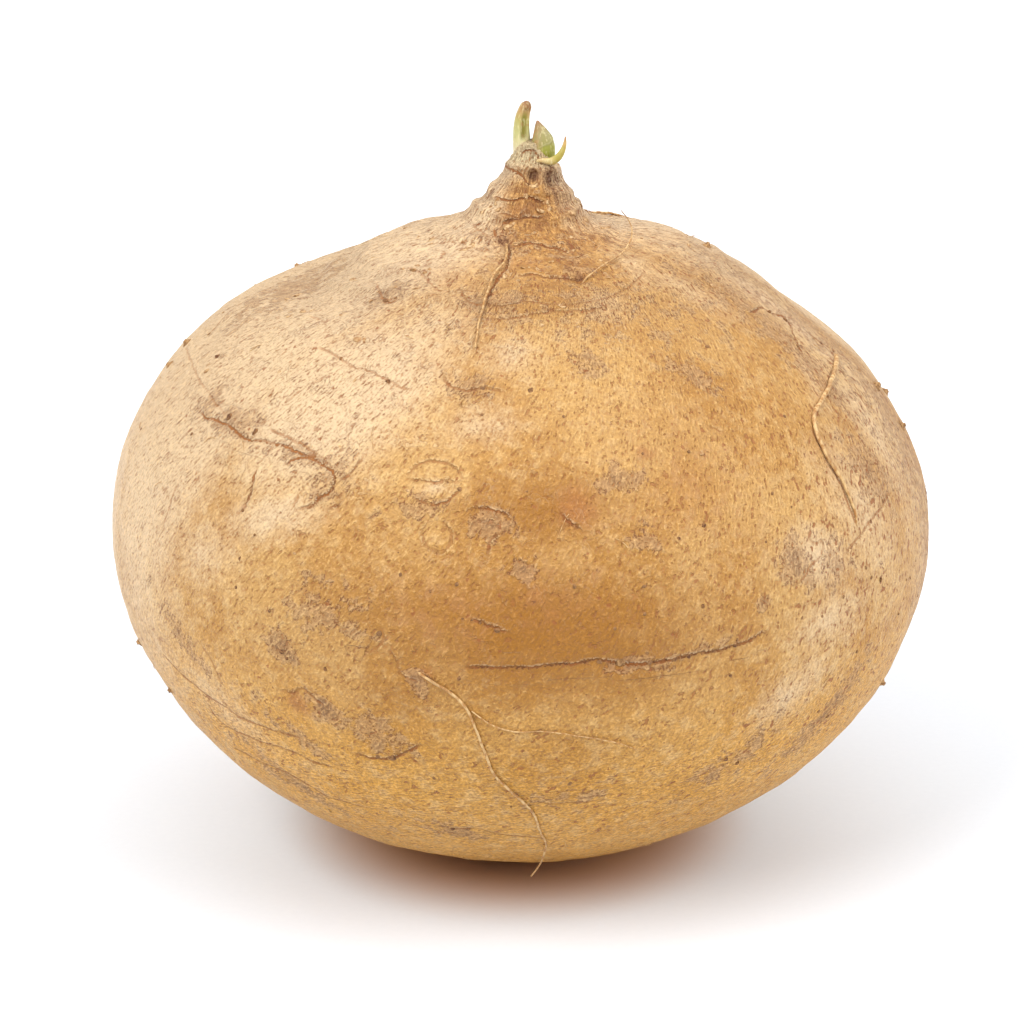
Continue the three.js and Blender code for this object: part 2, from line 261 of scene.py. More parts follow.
def stitch(first, first_turns, second, second_turns):
    """Triangles between two rings of vertex numbers, the first one below, by walking round both."""
    faces = []
    i = j = 0
    while i < len(first) or j < len(second):
        next_first = first_turns[i + 1] if i + 1 < len(first) else 1.0
        next_second = second_turns[j + 1] if j + 1 < len(second) else 1.0
        a, b = first[i % len(first)], second[j % len(second)]
        if j >= len(second) or (i < len(first) and next_first <= next_second):
            faces.append((a, first[(i + 1) % len(first)], b))
            i += 1
        else:
            faces.append((a, second[(j + 1) % len(second)], b))
            j += 1
    return faces


def ring_turns(count, row):
    return (np.arange(count) + 0.5 * (row % 2)) / count


parts, bearings, climbs, faces = [], [], [], []
rings = []
total = 0


def add_ring(points, ring_bearings, ring_climb, turns):
    global total
    numbers = list(range(total, total + len(points)))
    parts.append(points)
    bearings.append(ring_bearings)
    climbs.append(np.full(len(points), ring_climb))
    if rings:
        below, below_turns = rings[-1]
        faces.extend(stitch(below, below_turns, numbers, turns))
    rings.append((numbers, turns))
    total += len(points)


for row in range(1, SPOT_RINGS + 1):
    turns = ring_turns(FIRST_RING_POINTS * row, row)
    radius = np.full(len(turns), SPOT_RADIUS * row / (SPOT_RINGS + 1))
    add_ring(turned(gathered(turns), 0, radius, 0.0), gathered(turns), 0.0, turns)
for row, (climb, count) in enumerate(zip(ring_climbs, ring_counts)):
    turns = ring_turns(count, row)
    add_ring(skin_point(gathered(turns), climb), gathered(turns), climb, turns)
rim_radius, rim_level = outline(1.0)
for row, share in enumerate(CAP_SHARES):
    turns = ring_turns(max(FEWEST_POINTS, int(ring_counts[-1] * share)), row)
    level = rim_level + NECK_CAP_RISE * (1 - share**2)
    add_ring(turned(gathered(turns), 1, np.full(len(turns), rim_radius * share), level), gathered(turns), 1.0, turns)
underside = total
parts.append(np.array([[0, ROOT_BACK, 0.0]]))
summit = total + 1
parts.append(turned(0, 1, 0.0, rim_level + NECK_CAP_RISE).reshape(1, 3))
for numbers, tip, flip in ((rings[0][0], underside, True), (rings[-1][0], summit, False)):
    for a, b in zip(numbers, numbers[1:] + numbers[:1]):
        faces.append((tip, b, a) if flip else (a, b, tip))
base = np.concatenate(parts)
bearing_of = np.concatenate([*bearings, [0.0, 0.0]])
climb_of = np.concatenate([*climbs, [0.0, 1.0]])
bearing_of = (bearing_of + 180) % 360 - 180
triangles = np.array(faces)
print(len(base), "points and", len(triangles), "triangles in the skin")

# %% [markdown]
# ## Fine relief
#
# The real skin is never smooth: it has soft dents as wide as a fingertip, smaller ones between them, and on the
# neck old bark that has cracked into rings and crumbled. Sculpting each dent would take hours, so noise moves the
# points, a little and mostly inwards, which keeps the root inside its solid's box. What is finer than the mesh is
# left to the material.

# %% Normals of the bare form


def normals_of(points, faces):
    corners = points[faces]
    flat = np.cross(corners[:, 1] - corners[:, 0], corners[:, 2] - corners[:, 0])
    total = np.zeros_like(points)
    for side in range(3):
        np.add.at(total, faces[:, side], flat)
    return total / np.linalg.norm(total, axis=1, keepdims=True)


def lumps(points, size, offset=0.0):
    """Smooth noise between about -1 and 1, in dents of some size in mm (a number, or one for each axis)."""
    scaled = points / np.asarray(size, float) + offset
    return np.array([noise.noise(place) for place in scaled.tolist()])


base_normals = normals_of(base, triangles)
outward = np.einsum("ij,ij->i", base - base.mean(axis=0), base_normals)
print("share of normals that point outwards:", round(float((outward > 0).mean()), 4))

# %% Dents, bark and crumbs
FINGERTIP_DENTS = 0.3
SMALL_DENTS = 0.14
CRUMBS = 0.1
BARK_RIDGES = 0.07
BARK_SHELVES = 0.14
BARK_RUBBLE = 0.04
FOOT_RIDGES = 0.05
FOOT_RUBBLE = 0.03
BARK_RADIUS = 7
INWARDS = 0.09

bark = smooth(climb_of, 0.79, 0.85)
foot = smooth(climb_of, 0.7, 0.78) * (1 - smooth(climb_of, 0.82, 0.86))
angle_of = np.radians(bearing_of)
round_the_neck = np.stack([np.sin(angle_of) * BARK_RADIUS, np.cos(angle_of) * BARK_RADIUS, base[:, 2]], axis=1)

fine = FINGERTIP_DENTS * (lumps(base, 11) - 0.5) + SMALL_DENTS * lumps(base, 4.2, 9.1)
fine += CRUMBS * lumps(base, 2.1, 3.7) * (0.6 + 0.4 * foot)
shelves = np.abs(lumps(round_the_neck, (3.2, 3.2, 0.8), 5.3))
ridges = lumps(round_the_neck, (0.5, 0.5, 3.4), 2.9)
rubble = lumps(base, 0.75, 1.3)
fine += bark * (BARK_SHELVES * (shelves - 0.35) + BARK_RIDGES * ridges + BARK_RUBBLE * rubble)
fine += foot * (FOOT_RIDGES * ridges + FOOT_RUBBLE * rubble)
fine = (fine - INWARDS) * smooth(climb_of, 0.0, 0.05)
print(f"the fine relief runs from {fine.min():.2f} to {fine.max():.2f} mm")

# %% [markdown]
# ## Places by line of sight
#
# A mark that was seen at some place in the frame is found on the skin by sending a ray from the camera through that
# place. A routine that keeps the triangles in a tree makes each ray cheap. A route is a list of such places: it is
# rounded off with a Catmull-Rom curve, so that a crack doesn't look like a chain of straight bits.

# %% Cast a place in the frame onto the skin
skin_tree = BVHTree.FromPolygons([Vector(point) for point in base], triangles.tolist())


def seen(x, y):
    """The skin's point, in mm, under a place in the frame."""
    across = float(x - FRAME_SIDE / 2) / FOCAL_LENGTH
    down = float(y - FRAME_SIDE / 2) / FOCAL_LENGTH
    sight = (forward + across * right - down * up).normalized()
    point, _, _, _ = skin_tree.ray_cast(eye, sight)
    if point is None:
        middle = Vector((0, ROOT_BACK, GIRTH_LEVEL))
        nearest = eye + sight * (middle - eye).dot(sight)
        point, _, _, _ = skin_tree.find_nearest(nearest)
    return np.array(point)


def rounded(points, steps=4):
    """Points along a Catmull-Rom curve through some points."""
    points = np.asarray(points, float)
    ends = np.concatenate([[2 * points[0] - points[1]], points, [2 * points[-1] - points[-2]]])
    curve = []
    for a, b, c, d in zip(ends, ends[1:], ends[2:], ends[3:]):
        for part in np.arange(steps) / steps:
            curve.append(0.5 * (2 * b + (c - a) * part + (2 * a - 5 * b + 4 * c - d) * part**2
                                + (3 * b - a - 3 * c + d) * part**3))
    return np.array([*curve, points[-1]])


def seen_route(places):
    return np.array([seen(x, y) for x, y in rounded(places)])


def skin_route(places):
    """A route from places given as bearing and climb."""
    bearings, climbs = rounded(places).T
    return skin_point(bearings, climbs)


print("the middle of the frame meets the skin at", np.round(seen(512, 512), 1))

# %% [markdown]
# ## Seams and cracks
#
# As the root swells, its papery skin tears. Each tear is a thin dark line, with a pale, slightly lifted edge on one
# side. They could be cut into the mesh, but a tear is finer than its triangles. Instead each point of the mesh
# stores how far it is from the nearest tear, with a sign for its side, how far along it is, and how strong the tear
# is there. A distance changes evenly between the points, so the material can still draw a sharp line. Tears that
# lie near each other go into different sets, because a point can only store one of them.

# %% Seams that are seen from the front
# Each seam: its set, its strength, and its route. The lifted edge is on the left of the route as it is walked.
SEEN_SEAMS = [
    # The left shoulder's long tear and its twin.
    (0, 0.8, [(198, 411), (206, 417), (216, 419), (231, 427), (244, 437), (258, 440), (272, 443), (287, 446),
              (307, 456), (329, 468)]),
    (1, 0.5, [(329, 460), (307, 448), (287, 437), (266, 428)]),
    (1, 0.6, [(276, 285), (259, 292), (238, 303), (222, 317), (206, 333)]),
    (2, 0.35, [(185, 345), (192, 366), (202, 385), (214, 401), (226, 416)]),
    (2, 0.9, [(258, 465), (251, 483), (248, 496), (241, 509)]),
    (2, 0.45, [(179, 481), (173, 491), (166, 513), (160, 528)]),
    (1, 0.9, [(297, 509), (306, 508), (314, 504), (317, 498), (330, 490), (335, 480), (332, 473), (321, 463),
              (307, 456), (291, 460), (287, 468)]),
    (2, 0.9, [(299, 495), (295, 502), (291, 508)]),
    (2, 0.6, [(335, 481), (349, 474), (358, 463), (365, 452)]),
    (2, 0.7, [(337, 496), (338, 503), (322, 510)]),
    (0, 0.5, [(317, 344), (340, 357), (354, 366), (365, 368), (388, 379), (401, 386), (415, 387)]),
    (1, 0.4, [(380, 278), (395, 270), (411, 267), (426, 278), (441, 290)]),
    (1, 0.5, [(376, 281), (382, 296), (396, 298)]),
    (2, 0.9, [(380, 300), (392, 300), (398, 296)]),
    (2, 0.4, [(307, 314), (321, 319), (326, 326)]),
    (1, 0.5, [(440, 369), (446, 381), (466, 389), (484, 387), (509, 392)]),
    (2, 0.4, [(452, 400), (462, 406), (474, 407)]),
    # The leaf-shaped flake, the oval below it, and what runs on from them.
    (0, 0.5, [(405, 478), (418, 480), (433, 481), (450, 481), (464, 480)]),
    (2, 0.5, [(405, 478), (415, 466), (432, 460), (450, 464), (464, 478)]),
    (1, 0.6, [(410, 496), (426, 503), (436, 504), (448, 499), (463, 486)]),
    (1, 0.45, [(380, 504), (388, 505), (396, 506)]),
    (0, 0.45, [(436, 521), (448, 527), (451, 538), (446, 549), (436, 551), (425, 545), (422, 534), (428, 524),
               (436, 521)]),
    (2, 0.35, [(506, 529), (492, 539), (486, 557), (476, 571)]),
    (1, 0.7, [(464, 513), (476, 508), (490, 508), (506, 514), (511, 522)]),
    (0, 0.75, [(468, 617), (478, 622), (491, 627), (499, 629), (511, 635)]),
    (1, 0.4, [(497, 598), (503, 604), (509, 612)]),
    (0, 0.8, [(557, 508), (565, 516), (572, 523), (585, 533)]),
    # Dashes on the left.
    (1, 0.9, [(274, 387), (270, 394), (266, 401)]),
    (0, 0.8, [(326, 375), (318, 379), (311, 384)]),
    (0, 0.7, [(304, 388), (295, 393), (284, 403)]),
    (2, 0.7, [(272, 444), (269, 449), (266, 455)]),
    (2, 0.5, [(268, 416), (263, 423), (260, 428)]),
    # The long tear across the belly.
    (0, 0.9, [(463, 668), (489, 668), (526, 669), (547, 667), (579, 664), (600, 661), (622, 664), (651, 664),
              (690, 657), (717, 652), (738, 646), (755, 639), (770, 631)]),
    (0, 0.5, [(893, 490), (882, 508), (872, 521), (861, 535), (853, 546), (844, 556)]),
    # The right shoulder's peel and its shadow.
    (0, 0.8, [(750, 313), (763, 306), (771, 311), (785, 316), (791, 325), (793, 331), (799, 343), (806, 355)]),
    (1, 0.6, [(806, 330), (826, 343), (839, 350)]),
    (2, 0.5, [(821, 353), (830, 359), (838, 365)]),
    (1, 0.6, [(813, 424), (819, 439), (831, 459), (841, 479), (851, 507), (857, 522), (860, 534)]),
    (2, 0.4, [(704, 425), (716, 428), (723, 431), (727, 435)]),
    (1, 0.35, [(726, 582), (723, 594), (721, 606)]),
    (2, 0.5, [(806, 537), (815, 543), (824, 542), (822, 556), (812, 566), (806, 578), (792, 586)]),
    # Low on the left.
    (0, 0.6, [(160, 653), (176, 670), (185, 678), (206, 696), (223, 708), (239, 719), (261, 728), (276, 733),
              (302, 739)]),
    (1, 0.6, [(206, 703), (214, 718), (226, 729), (243, 736), (261, 744), (286, 752), (316, 764), (336, 769)]),
    (2, 0.4, [(198, 643), (210, 660), (223, 691)]),
    (2, 0.55, [(234, 749), (258, 762), (279, 771), (297, 781), (319, 794), (344, 804), (380, 812)]),
    (0, 0.8, [(353, 754), (373, 760), (390, 760), (403, 756), (413, 750), (423, 746)]),
    (1, 0.6, [(405, 756), (413, 762), (421, 769)]),
    (2, 0.5, [(278, 690), (292, 695), (301, 690), (313, 699), (328, 708)]),
    (1, 0.4, [(378, 628), (385, 640), (377, 648), (370, 653)]),
    (2, 0.4, [(385, 648), (396, 661), (400, 675), (423, 683)]),
    (1, 0.6, [(446, 830), (466, 830), (478, 830), (493, 835), (507, 837), (546, 839)]),
    (0, 0.4, [(527, 806), (537, 804), (556, 806), (580, 804), (600, 803)]),
    # Rings round the foot of the neck.
    (0, 0.45, [(458, 284), (466, 297), (478, 302), (490, 304), (501, 304), (512, 302), (526, 300), (547, 302),
               (567, 304), (581, 302), (601, 298), (620, 291), (634, 282), (645, 271)]),
    (1, 0.45, [(481, 319), (500, 317), (522, 315), (545, 312), (567, 310), (590, 309), (612, 304)]),
    (2, 0.7, [(516, 277), (532, 273), (546, 276), (562, 276), (574, 279), (583, 281)]),
    # Ledges of bark on the neck, from its foot up. Their dark lines are partly painted shade under each ledge, and
    # their pale lips partly painted light on its edge.
    (2, 0.8, [(508, 248), (514, 245), (526, 242), (538, 242), (548, 245), (560, 246), (571, 252)]),
    (1, 1.2, [(499, 225), (505, 222), (513, 219), (522, 215), (532, 215), (540, 216), (548, 216)]),
    (2, 0.7, [(494, 212), (503, 212), (510, 214), (516, 215), (524, 212), (531, 209)]),
    (0, 1.1, [(491, 197), (497, 196), (504, 199), (512, 199), (524, 197), (533, 198), (541, 202), (552, 203)]),
    (1, 0.8, [(541, 176), (539, 182), (534, 185), (529, 182), (522, 176), (514, 172), (507, 168), (501, 164)]),
    (2, 1.2, [(550, 171), (549, 177), (551, 184), (554, 190)]),
    (2, 1.0, [(518, 156), (521, 152), (527, 150), (534, 152), (538, 157), (541, 163)]),
    (0, 0.6, [(493, 188), (488, 193), (486, 199)]),
    (0, 0.5, [(470, 221), (477, 228), (486, 234), (492, 238)]),
    (2, 0.8, [(494, 224), (495, 232), (497, 240)]),
    # A dark line beside the neck's rootlet: a crack, and painted shadow of the rootlet.
    (0, 0.8, [(510, 247), (509, 257), (506, 267), (498, 278), (490, 290), (486, 300)]),
    (0, 0.5, [(566, 200), (570, 208), (576, 216), (579, 225), (583, 233)]),
    (1, 0.4, [(586, 214), (592, 222), (597, 232)]),
    (2, 0.4, [(566, 222), (572, 230), (573, 240)]),
]

# %% Seams of the back, sides and underside
# Each seam: its set, its strength, and its route by bearing and climb.
HIDDEN_SEAMS = [
    (0, 0.8, [(100, 0.33), (112, 0.35), (126, 0.36), (141, 0.35), (158, 0.33), (172, 0.33)]),
    (0, 0.6, [(-176, 0.6), (-168, 0.615), (-158, 0.62), (-147, 0.61), (-139, 0.595)]),
    (0, 0.7, [(128, 0.68), (134, 0.66), (141, 0.65), (146, 0.62), (156, 0.61)]),
    (0, 0.5, [(-128, 0.2), (-116, 0.21), (-104, 0.2), (-93, 0.22)]),
    (0, 0.5, [(40, 0.16), (55, 0.17), (70, 0.16), (83, 0.18)]),
    (0, 0.4, [(-60, 0.09), (-40, 0.1), (-20, 0.09)]),
    (1, 0.6, [(-150, 0.42), (-160, 0.41), (-171, 0.42), (177, 0.44)]),
    (1, 0.7, [(118, 0.53), (124, 0.5), (126, 0.47), (133, 0.45)]),
    (1, 0.45, [(150, 0.75), (165, 0.755), (180, 0.75), (-165, 0.745), (-148, 0.75)]),
    (1, 0.4, [(120, 0.14), (137, 0.15), (152, 0.14), (168, 0.15)]),
    (1, 0.5, [(98, 0.62), (104, 0.6), (108, 0.58), (112, 0.55)]),
    (2, 0.5, [(-112, 0.66), (-118, 0.63), (-121, 0.6), (-128, 0.57)]),
    (2, 0.45, [(160, 0.27), (168, 0.25), (177, 0.25), (-172, 0.27)]),
    (2, 0.4, [(95, 0.44), (99, 0.42), (104, 0.41)]),
    (2, 0.6, [(-100, 0.36), (-108, 0.34), (-113, 0.32), (-122, 0.32)]),
]

# %% Store the nearest seam of each set at every point
SEAM_SETS = 3
SEAM_REACH = 2.6
SEAM_TAPER = 1.6


def beside(route, strength):
    """For each point near a route: which it is, how far to the left it lies, how far along, and the strength."""
    low, high = route.min(axis=0) - SEAM_REACH, route.max(axis=0) + SEAM_REACH
    near = np.flatnonzero(((base > low) & (base < high)).all(axis=1))
    start, leg = route[:-1], np.diff(route, axis=0)
    length = np.maximum(np.linalg.norm(leg, axis=1), 1e-6)
    offset = base[near, None] - start
    share = np.clip(np.einsum("ijk,jk->ij", offset, leg) / length**2, 0, 1)
    gap = np.linalg.norm(offset - share[..., None] * leg, axis=2)
    best = gap.argmin(axis=1)
    row = np.arange(len(near))
    side = np.cross(leg[best], offset[row, best])
    left = np.sign(np.einsum("ij,ij->i", side, base_normals[near]))
    before = np.concatenate([[0], np.cumsum(length)])
    along = before[best] + share[row, best] * length[best]
    tapered = strength * smooth(along, 0, SEAM_TAPER) * smooth(before[-1] - along, 0, SEAM_TAPER)
    distance = gap[row, best]
    return near, left * distance, along, tapered * smooth(SEAM_REACH - distance, 0, 0.5)


routes = [(number, strength, seen_route(places)) for number, strength, places in SEEN_SEAMS]
routes += [(number, strength, skin_route(places)) for number, strength, places in HIDDEN_SEAMS]
seams = np.zeros((SEAM_SETS, len(base), 3))
seams[:, :, 0] = SEAM_REACH
for number, strength, route in routes:
    near, across, along, force = beside(route, strength)
    closer = near[np.abs(across) < np.abs(seams[number, near, 0])]
    chosen = np.isin(near, closer)
    seams[number, near[chosen]] = np.stack([across, along, force], axis=1)[chosen]
for values in seams:
    print("points beside a seam of this set:", int((values[:, 2] > 0).sum()))

# %% Cut the seams a little into the mesh
GROOVE_DEPTH = 0.22
GROOVE_REACH = 0.7
LIP_HEIGHT = 0.06
LIP_PLACE = 1.1
LIP_REACH = 0.8
for values in seams:
    across, force = values[:, 0], values[:, 2]
    fine -= GROOVE_DEPTH * force * bump(across, GROOVE_REACH)
    fine += LIP_HEIGHT * force * bump(across - LIP_PLACE, LIP_REACH)
print(f"with its seams the relief runs from {fine.min():.2f} to {fine.max():.2f} mm")

# %% [markdown]
# ## Patches
#
# Parts of the skin have a crust of grey-brown scurf, an orange stain, or bare paler skin where a flake came away.
# Some pale ovals are also painted highlight on the upper left and the right, some deeper golden ones painted shade
# over the front middle, and the orange on the neck is partly painted shade under its ledges and in its hollows.
# A patch could be a decal or a painted mask. Here each is an oval with a centre, a size and a tilt, and a point
# stores how deep it lies in the oval that reaches it most: the oval's strength in the middle, 0 at the edge, and
# less than 0 outside. The material adds noise to that depth before it cuts it off, so the edge comes out ragged.

# %% Scurf, stains and peeled places
# Each patch that is seen: its middle, its half-width and half-height in the frame, its tilt, and its strength.
SEEN_SCURF = [
    (487, 523, 27, 19, 10, 1.0),
    (523, 568, 17, 15, 20, 0.95),
    (622, 479, 26, 14, -8, 0.75),
    (646, 538, 16, 13, 20, 0.75),
    (585, 360, 18, 14, -15, 0.7),
    (798, 561, 17, 30, -28, 1.0),
    (765, 603, 7, 9, 15, 0.9),
    (828, 714, 10, 18, 30, 0.9),
    (818, 373, 17, 13, 20, 0.7),
    (870, 470, 19, 25, -35, 0.75),
    (282, 650, 17, 18, 30, 1.25),
    (326, 711, 21, 14, 25, 1.3),
    (376, 736, 31, 19, 20, 0.8),
    (178, 634, 16, 12, 40, 0.6),
    (288, 290, 24, 18, -30, 0.55),
    (325, 612, 36, 28, 10, 0.5),
    (415, 682, 11, 20, -20, 0.85),
    (690, 370, 24, 12, 15, 0.5),
    (475, 385, 22, 13, 0, 0.7),
    (232, 420, 30, 11, 25, 0.8),
    (295, 452, 46, 8, 24, 0.6),
    (210, 400, 16, 12, 40, 0.5),
    (330, 480, 18, 22, 0, 0.45),
    (415, 506, 28, 14, 10, 0.55),
    (385, 292, 18, 12, 20, 0.5),
    (500, 300, 38, 9, 5, 0.55),
    (600, 302, 50, 14, -10, 0.12),
    (630, 664, 34, 9, -4, 0.7),
    (690, 656, 40, 7, -8, 0.6),
    (735, 760, 26, 12, -20, 0.45),
    (300, 740, 22, 8, 25, 0.4),
    (452, 832, 30, 7, 3, 0.6),
    (560, 800, 34, 9, 0, 0.4),
    (288, 780, 18, 6, 25, 0.5),
    (882, 400, 14, 24, -20, 0.4),
    (775, 330, 30, 16, 30, 0.45),
    (835, 560, 12, 20, 0, 0.35),
    (500, 240, 18, 14, 0, 0.4),
    (572, 260, 16, 20, 10, 0.35),
    (560, 190, 12, 14, 0, 0.4),
]
SEEN_STAINS_AND_SHADE = [
    (578, 506, 26, 28, 0, 1.0),
    (296, 704, 14, 12, 0, 0.9),
    (425, 675, 11, 9, 0, 0.9),
    (646, 453, 17, 10, 0, 0.7),
    (548, 598, 60, 40, 10, 0.35),
    (440, 610, 60, 40, 0, 0.35),
    (622, 664, 15, 9, 0, 0.9),
    (690, 480, 60, 60, 0, 0.25),
    # Orange on the neck, below its ledges and in its hollows: partly painted shade.
    (517, 210, 26, 16, 0, 0.7),
    (521, 262, 34, 12, 0, 0.5),
    (502, 243, 12, 10, 0, 0.9),
    (787, 318, 12, 9, 0, 0.8),
    (581, 277, 8, 7, 0, 1.0),
    (826, 455, 16, 24, -20, 0.4),
    (242, 508, 7, 6, 0, 0.8),
]
# Where the skin is paler, and where painted highlight stands for the light on the upper left and the right.
SEEN_PALE_AND_HIGHLIGHT = [
    (260, 330, 130, 90, -35, 1.3),
    (345, 262, 90, 30, -18, 1.0),
    (180, 420, 50, 90, 10, 0.4),
    (330, 392, 140, 112, 0, 1.0),
    (352, 350, 60, 44, 0, 0.3),
    (512, 352, 62, 42, 0, 0.45),
    (600, 298, 60, 34, 0, 0.5),
    (435, 488, 34, 15, 0, 0.6),
    (436, 536, 16, 17, 0, 0.3),
    (860, 500, 70, 120, 0, 0.45),
    (830, 620, 60, 50, 0, 0.45),
    (820, 555, 55, 50, 0, 0.65),
    (790, 695, 50, 42, 0, 0.5),
    (770, 300, 90, 40, 35, 0.5),
    (690, 290, 80, 32, 10, 0.4),
    (870, 420, 34, 70, -15, 0.5),
    (480, 425, 75, 42, 0, 0.4),
    (270, 515, 85, 42, 0, 0.6),
    (215, 700, 42, 40, 0, 0.35),
    (519, 144, 9, 9, 0, 1.3),
    (420, 330, 120, 80, 0, 0.45),
    (570, 340, 110, 50, 0, 0.25),
    (235, 300, 50, 30, -35, 0.8),
    (630, 262, 50, 30, 0, 0.4),
    (812, 375, 14, 60, 20, 0.4),
    (200, 550, 60, 60, 0, 0.45),
    (500, 175, 20, 26, 0, 0.7),
    (477, 217, 36, 26, 0, 0.9),
    (570, 225, 24, 22, 0, 0.4),
]
# Where the skin is deeper and more golden, and where painted shade darkens the front middle and the neck under its
# ledges.
SEEN_DEEP_AND_SHADE = [
    (556, 640, 235, 104, 0, 0.95),
    (385, 610, 70, 60, 0, 0.4),
    (400, 690, 110, 60, 0, 0.4),
    (640, 590, 90, 55, 0, 0.45),
    (545, 512, 135, 64, 0, 0.7),
    (470, 580, 70, 50, 0, 0.35),
    (560, 755, 140, 60, 0, 0.25),
    (690, 380, 95, 75, 0, 0.3),
    # On the neck, painted shade below its ledges.
    (530, 218, 32, 44, 0, 1.0),
    (575, 264, 48, 28, 0, 0.6),
]
# The same on the sides that aren't seen: bearing, climb, half-width and half-height in mm, tilt, strength.
HIDDEN_SCURF = [
    (104, 0.5, 5, 4, 20, 0.8),
    (126, 0.4, 7, 3, 10, 0.8),
    (141, 0.6, 4, 6, 0, 0.9),
    (158, 0.46, 5, 3.5, -30, 0.7),
    (171, 0.68, 6, 3, 15, 0.6),
    (-176, 0.36, 4, 4, 0, 0.9),
    (-158, 0.3, 6, 3, 25, 0.8),
    (-147, 0.66, 3, 5, 0, 0.6),
    (-131, 0.52, 5, 3, -20, 0.8),
    (-118, 0.38, 3, 4, 40, 0.9),
    (-108, 0.56, 4, 3, 0, 0.6),
    (133, 0.24, 5, 3, 0, 0.7),
    (-100, 0.2, 5, 4, 30, 0.6),
    (178, 0.2, 7, 3, 0, 0.6),
    (60, 0.14, 6, 4, 0, 0.5),
    (-45, 0.12, 6, 4, 20, 0.6),
    (115, 0.72, 5, 3, 0, 0.5),
]
HIDDEN_STAINS = [
    (112, 0.43, 6, 6, 0, 0.6),
    (149, 0.36, 9, 6, 0, 0.5),
    (-165, 0.5, 10, 8, 0, 0.4),
    (-124, 0.45, 5, 5, 0, 0.7),
    (168, 0.57, 5, 4, 0, 0.7),
    (0, 0.05, 22, 10, 0, 0.5),
]
HIDDEN_PALE = [
    (150, 0.66, 22, 14, 0, 0.9),
    (-150, 0.6, 20, 16, 0, 0.8),
    (-120, 0.72, 16, 12, 0, 0.8),
    (125, 0.56, 16, 16, 0, 0.7),
    (175, 0.44, 18, 12, 0, 0.5),
]
HIDDEN_DEEP = [
    (140, 0.36, 24, 14, 0, 0.8),
    (-160, 0.32, 22, 12, 0, 0.8),
    (-110, 0.42, 14, 14, 0, 0.5),
    (178, 0.6, 12, 12, 0, 0.4),
]
# Hollows of the neck, where leaf stalks and rootlets left it, in the same six numbers.
SEEN_HOLLOWS = [
    (533, 174, 4.5, 6, 0, 0.8),
    (550, 178, 3, 8, -10, 1.2),
    (557, 180, 5, 7, 0, 0.35),
    (556, 190, 2.5, 6, 0, 0.5),
    (503, 241, 7, 4, 0, 0.6),
    (581, 278, 5, 4, 0, 0.6),
    (507, 248, 3.5, 4, 0, 0.6),
    (491, 191, 3, 4, 0, 0.5),
]
HOLLOW_DEPTH = 0.16
OUTSIDE = -0.6
# How far to each side of a place in the frame the skin is probed, to find how large a pixel is on it.
PROBE = 3


def patch_depth(middle, across, along, half_width, half_height, tilt, strength):
    """How deep each point lies inside an oval that lies on the skin, times the oval's strength."""
    angle = math.radians(tilt)
    offset = base - middle
    u, v = offset @ across, offset @ along
    wide = u * math.cos(angle) + v * math.sin(angle)
    tall = v * math.cos(angle) - u * math.sin(angle)
    lifted = offset @ np.cross(across, along)
    far = np.sqrt((wide / half_width) ** 2 + (tall / half_height) ** 2 + (lifted / (half_width + half_height)) ** 2)
    return np.maximum(strength * (1 - far), OUTSIDE)


def patch_field(seen_patches, hidden_patches):
    depth = np.full(len(base), OUTSIDE)
    for x, y, half_width, half_height, tilt, strength in seen_patches:
        middle = seen(x, y)
        across = (seen(x + PROBE, y) - seen(x - PROBE, y)) / (2 * PROBE)
        downward = (seen(x, y + PROBE) - seen(x, y - PROBE)) / (2 * PROBE)
        stretch = np.linalg.norm(across), np.linalg.norm(downward)
        depth = np.maximum(depth, patch_depth(middle, across / stretch[0], downward / stretch[1],
                                              half_width * stretch[0], half_height * stretch[1], tilt, strength))
    for bearing, climb, half_width, half_height, tilt, strength in hidden_patches:
        middle = skin_point(bearing, climb)
        across = skin_point(bearing + 1, climb) - middle
        along = skin_point(bearing, climb + 0.01) - middle
        depth = np.maximum(depth, patch_depth(middle, across / np.linalg.norm(across), along / np.linalg.norm(along),
                                              half_width, half_height, tilt, strength))
    return depth


scurf = patch_field(SEEN_SCURF, HIDDEN_SCURF)
stain = patch_field(SEEN_STAINS_AND_SHADE, HIDDEN_STAINS)
pale = patch_field(SEEN_PALE_AND_HIGHLIGHT, HIDDEN_PALE)
deep = patch_field(SEEN_DEEP_AND_SHADE, HIDDEN_DEEP)
# The tone is pale skin and painted highlight, less deep golden skin and painted shade.
tone = smooth(pale, -0.2, 0.9) - smooth(deep, -0.4, 1.2)
hollow = patch_field(SEEN_HOLLOWS, [])
fine -= HOLLOW_DEPTH * smooth(hollow, -0.15, 0.5)
for name, depth in (("scurf", scurf), ("stain", stain), ("pale skin", pale), ("hollows", hollow)):
    print(f"{name} covers {(depth > 0).mean():.1%} of the points")

# %% Make the skin's mesh object
SLANT_PER_MM = 0.5
WRAP_RADIUS = 16
# Distance along the outline at each ring, which gives streaks an even length.
ring_places = np.stack([outline(climb) for climb in ring_climbs])
ring_arcs = np.concatenate([[0], np.cumsum(np.linalg.norm(np.diff(ring_places, axis=0), axis=1))])
arc_of = np.interp(climb_of, ring_climbs, ring_arcs)
# The grain runs straight down the neck, then slants to the left, most of all on the left. It is wrapped round a
# cylinder, so that a fibre keeps to its own bearing all the way down.
neck_foot = np.interp(0.78, ring_climbs, ring_arcs)
slant = 0.6 - 0.4 * np.sin(angle_of)
grain_bearing = np.radians(bearing_of + SLANT_PER_MM * slant * np.maximum(neck_foot - arc_of, 0))
wrapped = np.stack([np.sin(grain_bearing) * WRAP_RADIUS, -np.cos(grain_bearing) * WRAP_RADIUS, arc_of], axis=1)
print(f"the outline is {ring_arcs[-1]:.0f} mm long, and {neck_foot:.0f} mm of it lie below the neck")
